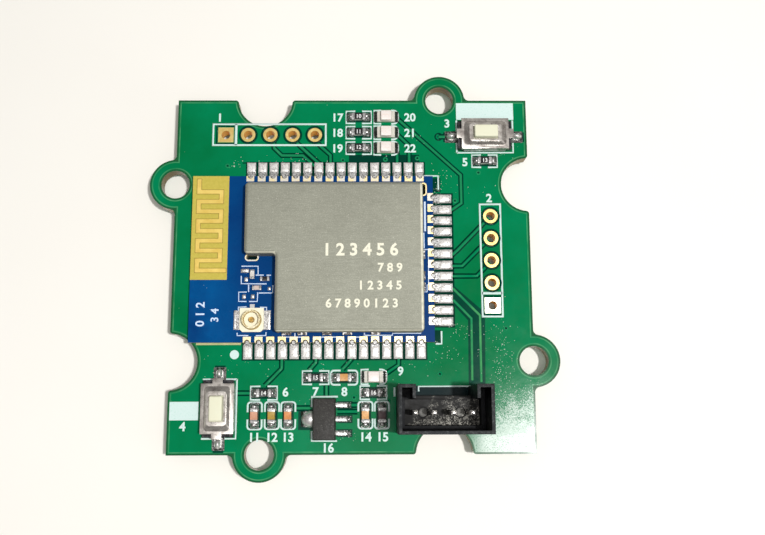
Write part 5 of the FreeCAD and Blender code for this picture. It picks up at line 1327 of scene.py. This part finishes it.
def dress_module_board(module):
    """Blue mask that darkens toward the can, the aerial's bare field, and cut laminate at the edges."""
    finish = mask_finish("module_mask", module.mask[:], module.mask_deep[:], 0.28)
    start, end = MASK_DRIFT
    toward_can = finish.ramp(finish.part(0), start * MM, end * MM)
    blue = finish.mix(finish.times(toward_can, 0.8), finish.painted, module.mask_deep[:])
    right, near = AERIAL_FIELD
    field = finish.times(finish.under(finish.part(0), right * MM), finish.over(finish.part(1), near * MM))
    weave = finish.mix(finish.ramp(finish.grain(0.3, 2.0), 0.35, 0.65, 0.0, 0.4), module.aerial_ground[:],
                       module.aerial_deep[:])
    edge = laminate_colour(finish, module.laminate[:], tone(150, 136, 96), 0.12)
    finish.paint(finish.mix(finish.wall(), finish.mix(field, blue, weave), edge))
    dress("module_board", finish)


def dress_aerial(module):
    """The printed aerial, with a dark line where its edge shades the laminate."""
    gold = mottled("aerial_gold", module.aerial[:], module.aerial_pale[:], (1.2, 0.35, 0.7), 0.4, 0.3,
                   [(0.3, 0.004, 0.4)])
    dress("aerial_trace", gold)
    shade = mottled("aerial_edge", module.aerial_edge[:], module.aerial_deep[:], (0.3,), 0.6)
    ribbons("aerial_rim", top_rim("aerial_trace"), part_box("aerial_trace")[1].z, shade, 0.075 * MM, 0.01 * MM)


def dress_coax(module, metal):
    """The coaxial receptacle: insulator, collar with soldered tabs, pin, and painted shade rings between them.
    """
    dress("coax_insulator", mottled("coax_plastic", module.coax_body[:], tone(232, 224, 196), (0.5,),
                                    bumps=[(0.2, 0.006, 0.4)], Specular_IOR_Level=0.3))
    collar = mottled("coax_metal", module.coax_metal[:], tone(246, 236, 206), (0.4, 0.35, 0.7), 0.32, 0.5)
    collar.rough(0.2, 0.2, 0.4)
    grains = collar.ramp(collar.grain(0.16, 4.0, 0.8), 0.42, 0.6)
    tab = collar.mix(grains, metal.solder[:], metal.solder_dull[:])
    collar.paint(collar.mix(collar.under(collar.part(2), TAB_TOP), collar.painted, tab))
    dress("coax_shell", collar)
    low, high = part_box("coax_shell")
    centre = ((low.x + high.x) / 2 / MM, (low.y + high.y) / 2 / MM)
    # Painted shade in the gaps between collar, insulator and pin.
    groove = mottled("coax_groove", module.coax_groove[:], module.coax_metal[:], (0.2,), 0.5, 0.3)
    foot_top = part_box("coax_insulator")[1].z
    for name, radius, width in COAX_SHADE_RINGS:
        rings(name, [centre], foot_top + 0.005 * MM, groove, radius * MM, width * MM, 0.012 * MM, 48)
    pin = mottled("coax_pin_gold", module.coax_pin[:], module.coax_groove[:], (0.2, 0.4, 0.7), 0.35, 0.5)
    pin.paint(pin.mix(pin.under(pin.part(2), TAB_TOP), pin.painted, metal.blob[:]))
    pin.relief(pin.grain(0.2, 2.0), 0.004, 0.4)
    dress("coax_pin", pin)


class DressModule(bpy.types.Operator):
    """Blue board of the radio module, its aerial, coaxial receptacle and printed marks"""
    bl_idname = "radio_carrier.module"
    bl_label = "Radio module"

    def execute(self, context):
        module, legend, metal = look(ModuleLook), look(LegendLook), look(MetalLook)
        film = legend.film
        dress_module_board(module)
        dress_aerial(module)
        dress_coax(module, metal)
        ink = ink_finish("module_ink", module.ink[:], tone(110, 140, 200))
        ribbons("module_lines", MODULE_LINES, MODULE_TOP + film / 2, ink, 0.13 * MM, film)
        cut = Finish("module_cut_edge", module.laminate[:], 0.7)
        cut.paint(laminate_colour(cut, module.laminate[:], tone(170, 176, 120), 0.12))
        plates("module_burr", [(box_corners(*MODULE_BURR), BOARD_TOP, BOARD_TOP + 0.1 * MM)], cut)
        plates("module_bar", [(box_corners(*MODULE_BAR), MODULE_TOP - film, MODULE_TOP + film)], ink)
        figures("module_numbers", MODULE_NUMBERS, MODULE_TOP, film, 0.02, ink)
        tinned = solder_finish("module_tin", metal.solder[:], metal.solder_dull[:], 0.3, 0.15)
        lands = bmesh.new()
        for x, y, width, depth in SPARE_LANDS:
            land = cushion("land", x, y, width, depth, 0.09, MODULE_TOP, 6)
            lands.from_mesh(land)
            bpy.data.meshes.remove(land)
        settle(new_piece("spare_lands", mesh_of(lands, "spare_lands"), tinned))
        return {"FINISHED"}


# The inner corner of the can's stepped outline, and how wide a highlight is painted along its bent edge on
# each side.
CAN_STEP = (CAN_LOW.x + 3.4 * MM, CAN_LOW.y + 8.55 * MM)
CAN_HIGHLIGHT_WIDTHS = {"left": 0.1, "right": 0.34, "near": 0.2, "far": 0.12}
# A painted highlight narrower than this is painted fainter.
FAINT_HIGHLIGHT = 0.15


def can_edge(finish):
    """Painted highlight: 1 along the can's bent edges, 0 elsewhere on its top."""
    x, y = finish.part(0), finish.part(1)
    step_x, step_y = CAN_STEP
    left = finish.plus(CAN_LOW.x, finish.times(finish.under(y, step_y), step_x - CAN_LOW.x))
    near = finish.plus(CAN_LOW.y, finish.times(finish.under(x, step_x), step_y - CAN_LOW.y))
    depths = {
        "left": finish.minus(x, left),
        "right": finish.minus(CAN_HIGH.x, x),
        "near": finish.minus(y, near),
        "far": finish.minus(CAN_HIGH.y, y),
    }
    bend = 0.0
    for side, depth in depths.items():
        width = CAN_HIGHLIGHT_WIDTHS[side]
        shine = 1.0 if width > FAINT_HIGHLIGHT else 0.4
        bend = finish.larger(bend, finish.ramp(depth, width * 0.7 * MM, width * MM, shine, 0.0))
    return finish.times(bend, finish.ramp(finish.part(2), CAN_TOP - 0.3 * MM, CAN_TOP - 0.1 * MM))


def can_finish(metal):
    """Brushed sheet with scratches, specks and painted highlights along its bends."""
    finish = Finish("can_metal", metal.can[:], 0.55, 0.3, Specular_IOR_Level=0.3)
    streaks = finish.grain(metal.brush_pitch / MM, 4.0, 0.8, finish.stretch(0.05, 1.0, 1.0))
    scratches = finish.grain(0.05, 5.0, 0.85, finish.stretch(0.18, 1.0, 1.0))
    broad = finish.grain(7.0, 4.0, 0.6)
    fine = finish.grain(0.1, 4.0, 0.8)
    painted = metal.can[:]
    for pattern, start, end, amount, swatch in (
            (streaks, 0.38, 0.66, 0.55, metal.can_dark[:]),
            (broad, 0.35, 0.7, 0.45, metal.can_dark[:]),
            (scratches, 0.52, 0.72, 0.5, metal.can_dark[:]),
            (fine, 0.5, 0.72, 0.5, metal.can_pale[:])):
        painted = finish.mix(finish.ramp(pattern, start, end, 0.0, amount), painted, swatch)
    specks = finish.ramp(finish.cells(0.5), 0.04, 0.09, 1.0, 0.0)
    rare = finish.ramp(finish.grain(1.3, 1.0), 0.5, 0.56)
    painted = finish.mix(finish.times(specks, rare), painted, metal.can_pale[:])
    uneven = finish.ramp(finish.grain(0.6, 3.0, 0.7), 0.3, 0.6, 0.55, 1.0)
    # Painted highlight along the bends, uneven.
    finish.paint(finish.mix(finish.times(can_edge(finish), uneven), painted, metal.can_edge[:]))
    finish.feed(finish.shader.inputs["Roughness"], finish.ramp(streaks, 0.3, 0.7, 0.5, 0.64))
    finish.relief(streaks, 0.004, 0.5)
    finish.relief(fine, 0.003, 0.5)
    return finish


class DressCan(bpy.types.Operator):
    """Brushed shield can with etched marks"""
    bl_idname = "radio_carrier.can"
    bl_label = "Shield can"

    def execute(self, context):
        metal, legend = look(MetalLook), look(LegendLook)
        dress("shield_can", can_finish(metal))
        etched = mottled("can_etching", legend.etch[:], tone(206, 202, 176), (0.12, 0.5, 0.75, 0.0, 0.6), 0.8,
                         Specular_IOR_Level=0.1)
        etched.relief(etched.grain(0.06, 2.0), 0.005, 0.6)
        film = 0.012 * MM
        figures("can_numbers", CAN_NUMBERS, CAN_TOP - film / 2, film, 0.03, etched)
        return {"FINISHED"}


# Top and side of each chip capacitor; the side is a darker copy of the top, painted shade.
CAPACITOR_TOPS_AND_SHADED_SIDES = {
    "module_bypass_capacitor": ((206, 150, 84), (196, 140, 80)),
    "input_capacitor_small": ((226, 168, 104), (180, 128, 80)),
    "input_capacitor_large": ((84, 60, 62), (72, 54, 56)),
    "reset_capacitor": ((206, 150, 120), (190, 136, 108)),
    "output_capacitor_small": ((176, 142, 56), (160, 130, 60)),
    "output_capacitor_large": ((214, 140, 80), (190, 126, 76)),
}
# Top of each part beside the coaxial receptacle.
MATCHING_PARTS = {
    "matching_inductor": (214, 208, 200),
    "matching_capacitor": (24, 23, 24),
    "matching_resistor": (206, 186, 176),
}


def chip_finish(node, body_top, body_side, end_length):
    """A chip's body with tinned caps at both ends of its long side."""
    metal = look(MetalLook)
    low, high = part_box(node)
    axis = 0 if high.x - low.x > high.y - low.y else 1
    reach = (high[axis] - low[axis]) / 2 - end_length * MM
    finish = Finish(node, body_top, 0.45, Specular_IOR_Level=0.3)
    cap = finish.beyond(axis, (low[axis] + high[axis]) / 2, reach)
    body = finish.mix(finish.over(finish.upward(), 0.6), body_side, body_top)
    body = finish.mix(finish.ramp(finish.grain(0.2), 0.4, 0.75, 0.0, 0.3), body, tone(60, 56, 54))
    worn = finish.ramp(finish.grain(0.16, 4.0, 0.7), 0.42, 0.66)
    # Tinned caps with patches of the pit colour, partly painted shade.
    tin = finish.mix(worn, metal.blob[:], metal.solder_dark[:])
    finish.paint(finish.mix(cap, body, tin))
    finish.feed(finish.shader.inputs["Metallic"], finish.times(cap, 0.5))
    finish.rough(0.2, 0.3, 0.5)
    finish.relief(finish.grain(0.2), 0.02, 0.7)
    return finish


def dress_lights(parts):
    """Light chips: a pale plate, and a lens with faint lines under it."""
    plate = mottled("light_plate", parts.light_plate[:], tone(216, 212, 198), (0.4,),
                    bumps=[(0.12, 0.006, 0.5)])
    lens = Finish("light_lens", parts.light_lens[:], 0.3, Specular_IOR_Level=0.4)
    clear = (*parts.light_lens, 1.0)
    grid = lens.add("TexBrick", {"Vector": lens.place, "Scale": 1 / (0.75 * MM), "Color1": clear,
                                 "Color2": clear, "Mortar": (*tone(226, 186, 168), 1.0),
                                 "Mortar Size": 0.03})
    lens.paint(lens.mix(lens.ramp(lens.grain(0.35), 0.35, 0.6, 0.35, 1.0), grid.outputs[0],
                        parts.light_lens[:]))
    lens.relief(lens.grain(0.2), 0.008, 0.4)
    for stem in ("status_led_upper", "status_led_middle", "status_led_lower", "power_led"):
        dress(stem + "_plate", plate)
        eased(stem + "_lens", 0.06, lens)


class DressChips(bpy.types.Operator):
    """Chip resistors, capacitors and light chips, with plain numbers on the resistors"""
    bl_idname = "radio_carrier.chips"
    bl_label = "Chips"

    def execute(self, context):
        parts = look(PartLook)
        white = ink_finish("resistor_ink", tone(235, 235, 232), tone(150, 150, 150))
        resistors = [node for node, kind in CHIP_FRAMES if kind == "bracket"]
        entries = []
        for number, node in enumerate(resistors, 10):
            entries.append((str(number), across(node)[:2], 0, 0.45))
            finish = chip_finish(node, parts.resistor[:], parts.ceramic[:], 0.34)
            eased(node, 0.03, finish)
        film = 0.01 * MM
        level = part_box("led_resistor_upper")[1].z - film / 2
        figures("resistor_numbers", entries, level, film, 0.02, white)
        # Capacitor sides painted darker than their tops: painted shade.
        for node, (top, side) in CAPACITOR_TOPS_AND_SHADED_SIDES.items():
            eased(node, 0.06, chip_finish(node, tone(*top), tone(*side), 0.38))
        for node, top in MATCHING_PARTS.items():
            eased(node, 0.03, chip_finish(node, tone(*top), parts.ceramic[:], 0.24))
        dress_lights(parts)
        return {"FINISHED"}


def cover_finish(metal):
    """Pressed steel, dull in patches."""
    finish = Finish("cover_metal", metal.steel[:], 0.3, 0.75)
    dull = finish.ramp(finish.grain(0.9, 5.0, 0.6), 0.42, 0.66)
    finish.paint(finish.mix(dull, metal.steel[:], metal.steel_dark[:]))
    finish.rough(0.3, 0.24, 0.4)
    finish.relief(finish.grain(0.7, 3.0, 0.5), 0.01, 0.5)
    finish.relief(finish.grain(0.12, 3.0, 0.7), 0.004, 0.6)
    return finish


def spring_dome(stem, steel):
    """A switch's dome as a piece of its own."""
    spring = new_piece(stem + "_dome_sheet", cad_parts[stem + "_dome"].data.copy(), steel)
    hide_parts(stem + "_dome")
    settle(spring)
    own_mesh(spring)


class DressSwitches(bpy.types.Operator):
    """Press switches: base, pressed cover, button, dome and terminals"""
    bl_idname = "radio_carrier.switches"
    bl_label = "Press switches"

    def execute(self, context):
        parts, metal = look(PartLook), look(MetalLook)
        base = mottled("switch_plastic", parts.switch_base[:], tone(84, 82, 84), (0.3, 0.45, 0.75),
                       bumps=[(0.1, 0.008, 0.6)], Specular_IOR_Level=0.2)
        cover = cover_finish(metal)
        plastic = mottled("button_plastic", parts.button[:], tone(222, 220, 194), (1.0, 0.35, 0.7),
                          bumps=[(0.2, 0.006, 0.5)], Specular_IOR_Level=0.2)
        steel = Finish("spring_steel", tone(210, 210, 206), 0.25, 1.0)
        steel.rough(0.2, 0.15, 0.35)
        steel.relief(steel.grain(0.3), 0.004, 0.5)
        for name in ("wake", "reset"):
            stem, body = name + "_switch", name + "_button"
            eased(stem + "_base", 0.06, base)
            eased(stem + "_cover", 0.05, cover, segments=3)
            eased(stem + "_button", 0.05, plastic, body=body)
            spring_dome(stem, steel)
            dress(stem + "_terminals", tin_finish())
        return {"FINISHED"}


# Parts under the can: swatch, and how metallic it is.
HIDDEN_PARTS = {
    "main_crystal": ((200, 198, 190), 0.8),
    "slow_crystal": ((200, 198, 190), 0.8),
    "power_inductors": ((96, 96, 98), 0.0),
    "band_filter": ((230, 228, 220), 0.0),
    "module_bypass_capacitors": ((176, 132, 92), 0.0),
}


class DressRegulator(bpy.types.Operator):
    """Moulded regulator, the chips at the can's foot and the parts hidden under the can"""
    bl_idname = "radio_carrier.regulator"
    bl_label = "Moulded chips"

    def execute(self, context):
        parts, metal = look(PartLook), look(MetalLook)
        finish = Finish("chip_black", parts.moulding[:], 0.6, Specular_IOR_Level=0.2)
        pale = finish.ramp(finish.grain(0.12, 4.0, 0.7), 0.45, 0.75, 0.0, 0.4)
        # Bright flecks: painted glints on the moulding.
        glint_flecks = finish.ramp(finish.grain(0.08, 2.0, 0.8), 0.64, 0.7, 0.0, 0.9)
        painted = finish.mix(pale, parts.moulding[:], tone(84, 82, 76))
        finish.paint(finish.mix(glint_flecks, painted, tone(150, 148, 140)))
        finish.rough(0.4, 0.45, 0.65)
        finish.relief(finish.grain(0.1), 0.012, 0.8)
        eased("regulator_body", 0.09, finish)
        for node in ("radio_chip", "memory_chip"):
            dress(node, finish)
        for node, (swatch, metallic) in HIDDEN_PARTS.items():
            shaded = tone(*(value * 0.7 for value in swatch))
            dress(node, mottled(node, tone(*swatch), shaded, (0.3, 0.4, 0.7), 0.45, metallic,
                                [(0.15, 0.008, 0.6)]))
        dark = tone(58, 52, 48)
        foot = Finish("rim_chips", dark, 0.4, 0.2)
        glints = foot.ramp(foot.grain(0.3, 4.0, 0.7), 0.5, 0.58)
        foot.paint(foot.mix(glints, dark, metal.solder[:]))
        foot.relief(foot.grain(0.15), 0.01, 0.7)
        dress("rim_chips", foot)
        return {"FINISHED"}


# Round marks that the mould's ejectors left on the socket's floor, each with a painted glint in its middle:
# distance from its middle, along the row of pins and across it, radius of each mark, radius of its brightest
# core, and half the width of its line.
MARK_SPREAD = 2.0 * MM
MARK_SHIFT = -0.3 * MM
MARK_RADIUS = 0.54 * MM
MARK_GLINT_CORE = 0.25 * MM
MARK_LINE = 0.06 * MM
# How far below its top the socket's rim is painted lighter, as wear and as painted sheen, and how far above
# its foot its floor lies.
SOCKET_RIM = 0.3 * MM
SOCKET_FLOOR = 2.6 * MM


def floor_wear(finish, low, middle_y):
    """Where painted glints lie on the socket's floor: more to the right and toward its near wall."""
    sideways = finish.ramp(finish.part(0), low.x + 1.0 * MM, low.x + 4.5 * MM, -0.2, 0.08)
    forward = finish.ramp(finish.part(1), middle_y - 1.6 * MM, middle_y + 1.0 * MM, 0.12, -0.16)
    patchy = finish.ramp(finish.plus(finish.grain(1.0), finish.plus(sideways, forward)), 0.42, 0.66)
    return finish.times(finish.ramp(finish.grain(0.16, 4.0, 0.85), 0.5, 0.66), patchy)


class DressSocket(bpy.types.Operator):
    """Black socket housing with eased edges, its top rim painted lighter as wear and painted sheen, and
    painted glints on its grainy floor
    """
    bl_idname = "radio_carrier.socket"
    bl_label = "Socket"

    def execute(self, context):
        parts = look(PartLook)
        low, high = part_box("socket_housing")
        middle_x, middle_y = (low.x + high.x) / 2, (low.y + high.y) / 2
        finish = Finish("socket_plastic", parts.socket[:], 0.5, Specular_IOR_Level=0.1)
        upward = finish.ramp(finish.upward(), 0.3, 0.9)
        rim = finish.times(upward, finish.over(finish.part(2), high.z - SOCKET_RIM))
        floor = finish.times(upward, finish.under(finish.part(2), low.z + SOCKET_FLOOR))
        grain = finish.ramp(finish.grain(0.25, 5.0, 0.8), 0.5, 0.66)
        layers = [
            # The top rim painted lighter: wear and painted sheen.
            (finish.times(rim, 0.1), parts.socket_rim[:]),
            (finish.times(rim, grain, 0.22), tone(150, 152, 152)),
            # The floor painted a little lighter, a painted sheen, with painted glints on it.
            (finish.times(floor, 0.12), tone(84, 80, 72)),
            (finish.times(floor, floor_wear(finish, low, middle_y)), parts.socket_glint[:]),
        ]
        for side in (-1, 1):
            away = finish.from_spot(middle_x + side * MARK_SPREAD, middle_y + MARK_SHIFT)
            inside = finish.ramp(away, MARK_GLINT_CORE, MARK_RADIUS, 0.4, 0.0)
            line = finish.under(finish.apart(away, MARK_RADIUS), MARK_LINE)
            # Each ejector mark has a painted glint inside and a dark line at its rim.
            layers += [(finish.times(floor, inside), tone(168, 166, 160)),
                       (finish.times(floor, line), tone(12, 12, 12))]
        painted = parts.socket[:]
        for amount, swatch in layers:
            painted = finish.mix(amount, painted, swatch)
        finish.paint(painted)
        finish.rough(0.6, 0.42, 0.58, detail=4.0)
        finish.relief(finish.grain(0.2, 4.0), 0.015, 0.7)
        eased("socket_housing", 0.06, finish)
        return {"FINISHED"}


# Where dried flux lies thickest: middle, reach along x and y, number of specks.
RESIDUE = [
    (9.4, 8.7, 0.9, 1.9, 60),
    (10.2, 11.0, 1.2, 0.7, 26),
    (11.9, -6.6, 1.0, 0.8, 30),
    (10.2, -9.2, 2.2, 1.3, 46),
    (14.9, -8.4, 1.6, 2.4, 26),
    (16.4, -7.5, 1.4, 2.2, 60),
    (16.6, -12.6, 1.6, 3.4, 220),
    (17.9, -16.4, 1.6, 2.8, 220),
    (13.0, -18.9, 2.4, 0.6, 60),
    (15.8, 13.7, 2.0, 0.4, 40),
    (17.8, 14.6, 0.7, 1.2, 20),
    (-13.2, 12.4, 0.8, 0.5, 14),
    (-6.4, 13.0, 3.4, 0.6, 26),
    (-12.2, -10.4, 4.0, 1.4, 26),
    (-2.4, -10.4, 3.6, 1.0, 24),
    (5.4, -11.0, 2.4, 1.4, 18),
    (0.0, -18.2, 2.0, 0.7, 12),
    (-5.0, -14.6, 1.0, 0.8, 8),
    (6.0, 15.4, 3.0, 2.0, 14),
    (13.0, 9.0, 3.0, 2.5, 10),
]


def on_board(x, y, margin=0.25):
    """Whether a place lies on the carrier board, clear of its outline and holes."""
    inside = max(abs(x), abs(y)) < HALF_SIDE - margin
    for spots, radius in ((NOTCHES, NOTCH_RADIUS), (EARS, MOUNT_RADIUS)):
        for spot in spots:
            inside = inside and math.dist(spot, (x, y)) > radius + margin
    return inside


class ScatterResidue(bpy.types.Operator):
    """Dried flux and dust on the carrier board"""
    bl_idname = "radio_carrier.residue"
    bl_label = "Residue"

    def execute(self, context):
        parts = look(PartLook)
        finish = mottled("residue", parts.residue[:], tone(170, 186, 172), (0.1,), Specular_IOR_Level=0.4)
        chance = random.Random(11)
        spots = []
        for x, y, reach_x, reach_y, count in RESIDUE:
            for _ in range(int(count * parts.residue_share)):
                spot = (chance.gauss(x, reach_x * 0.6), chance.gauss(y, reach_y * 0.6))
                if on_board(*spot):
                    spots.append(spot)
        source = spots_mesh("residue_spots", spots, BOARD_TOP + 0.005 * MM)
        grow("flux_specks", speck_recipe(), source, finish, Seed=7, Size=parts.residue_size, Flatness=0.4)
        return {"FINISHED"}


# Half the side of the floor, in metres.
FLOOR_HALF = 0.6
# Lights: name, the property with its power, place and side in metres.
LAMPS = [
    ("Key light", "key", (0.079, -0.029, 0.288), 0.015),
    ("Camera-side light", "fill", (0.004, -0.03, 0.16), 0.05),
    ("Window light", "window", (0.36, -0.16, 0.1), 0.16),
]


def lay_floor(swatch):
    """A plain pale floor under the lowest point of the part."""
    corners = box_corners(0, 0, FLOOR_HALF * 2, FLOOR_HALF * 2)
    floor = bmesh.new()
    floor.faces.new([floor.verts.new((x, y, CAD_BOX[0][2])) for x, y in corners])
    paper = Finish("paper", swatch, 0.9, Specular_IOR_Level=0.1)
    paper.paint(paper.mix(paper.grain(30.0, 2.0), swatch, tone(240, 236, 228)))
    paper.relief(paper.grain(0.4), 0.01, 0.3)
    new_piece("floor", mesh_of(floor, "floor"), paper)


def hang_sky(horizon, overhead):
    """Even light that is stronger overhead than low down."""
    world = bpy.data.worlds.new("Soft sky")
    world.use_nodes = True
    sky = Tree(world.node_tree, "ShaderNode")
    height = sky.add("SeparateXYZ", {"Vector": sky.add("TexCoord").outputs["Generated"]}).outputs[2]
    strength = sky.add("MapRange", {"Value": height, "From Min": 0.3, "From Max": 0.95, "To Min": horizon,
                                    "To Max": overhead}, clamp=True)
    background = world.node_tree.nodes["Background"]
    background.inputs["Color"].default_value = (1.0, 0.99, 0.965, 1.0)
    sky.feed(background.inputs["Strength"], strength.outputs[0])
    bpy.context.scene.world = world


def hang_lamp(name, power, place, side):
    """A square light that looks at the middle of the part."""
    light = bpy.data.lights.new(name, "AREA")
    light.energy = power
    light.size = side
    lamp = bpy.data.objects.new(name, light)
    lamp.location = place
    lamp.rotation_euler = (-Vector(place)).to_track_quat("-Z", "Y").to_euler()
    bpy.context.scene.collection.objects.link(lamp)


class BuildStage(bpy.types.Operator):
    """Pale floor, lights from the right and above, and the camera"""
    bl_idname = "radio_carrier.stage"
    bl_label = "Stage"

    def execute(self, context):
        stage = look(StageLook)
        scene = bpy.context.scene
        lay_floor(stage.floor[:])
        hang_sky(stage.horizon, stage.sky)
        scene.view_settings.view_transform = "Standard"
        for name, power, place, side in LAMPS:
            hang_lamp(name, getattr(stage, power), place, side)
        view = bpy.data.cameras.new("Camera")
        view.sensor_width = 36.0
        view.lens = stage.lens
        view.clip_start = 0.005
        view.clip_end = 5.0
        camera = bpy.data.objects.new("Camera", view)
        camera.location = stage.camera_place
        camera.rotation_euler = (stage.camera_tilt, stage.camera_lean, stage.camera_turn)
        scene.collection.objects.link(camera)
        scene.camera = camera
        return {"FINISHED"}


OPERATORS = [
    DressCarrierBoard,
    LayTracks,
    PrintLegend,
    DressMetal,
    DressModule,
    DressCan,
    DressChips,
    DressSwitches,
    DressRegulator,
    DressSocket,
    ScatterResidue,
    BuildStage,
]


class CarrierPanel(bpy.types.Panel):
    """Lists the steps that dress the board"""
    bl_idname = "VIEW3D_PT_radio_carrier"
    bl_label = "Radio carrier board"
    bl_space_type = "VIEW_3D"
    bl_region_type = "UI"
    bl_category = "Radio Carrier"

    def draw(self, context):
        for operator in OPERATORS:
            self.layout.operator(operator.bl_idname)


CLASSES = [group for _, group in LOOKS] + OPERATORS + [CarrierPanel]


def register():
    for item in CLASSES:
        bpy.utils.register_class(item)
    for name, group in LOOKS:
        setattr(bpy.types.Scene, name, PointerProperty(type=group))


def unregister():
    for name, _ in LOOKS:
        delattr(bpy.types.Scene, name)
    for item in reversed(CLASSES):
        bpy.utils.unregister_class(item)


def main():
    register()
    for operator in OPERATORS:
        family, name = operator.bl_idname.split(".")
        getattr(getattr(bpy.ops, family), name)()


if __name__ == "__main__":
    main()
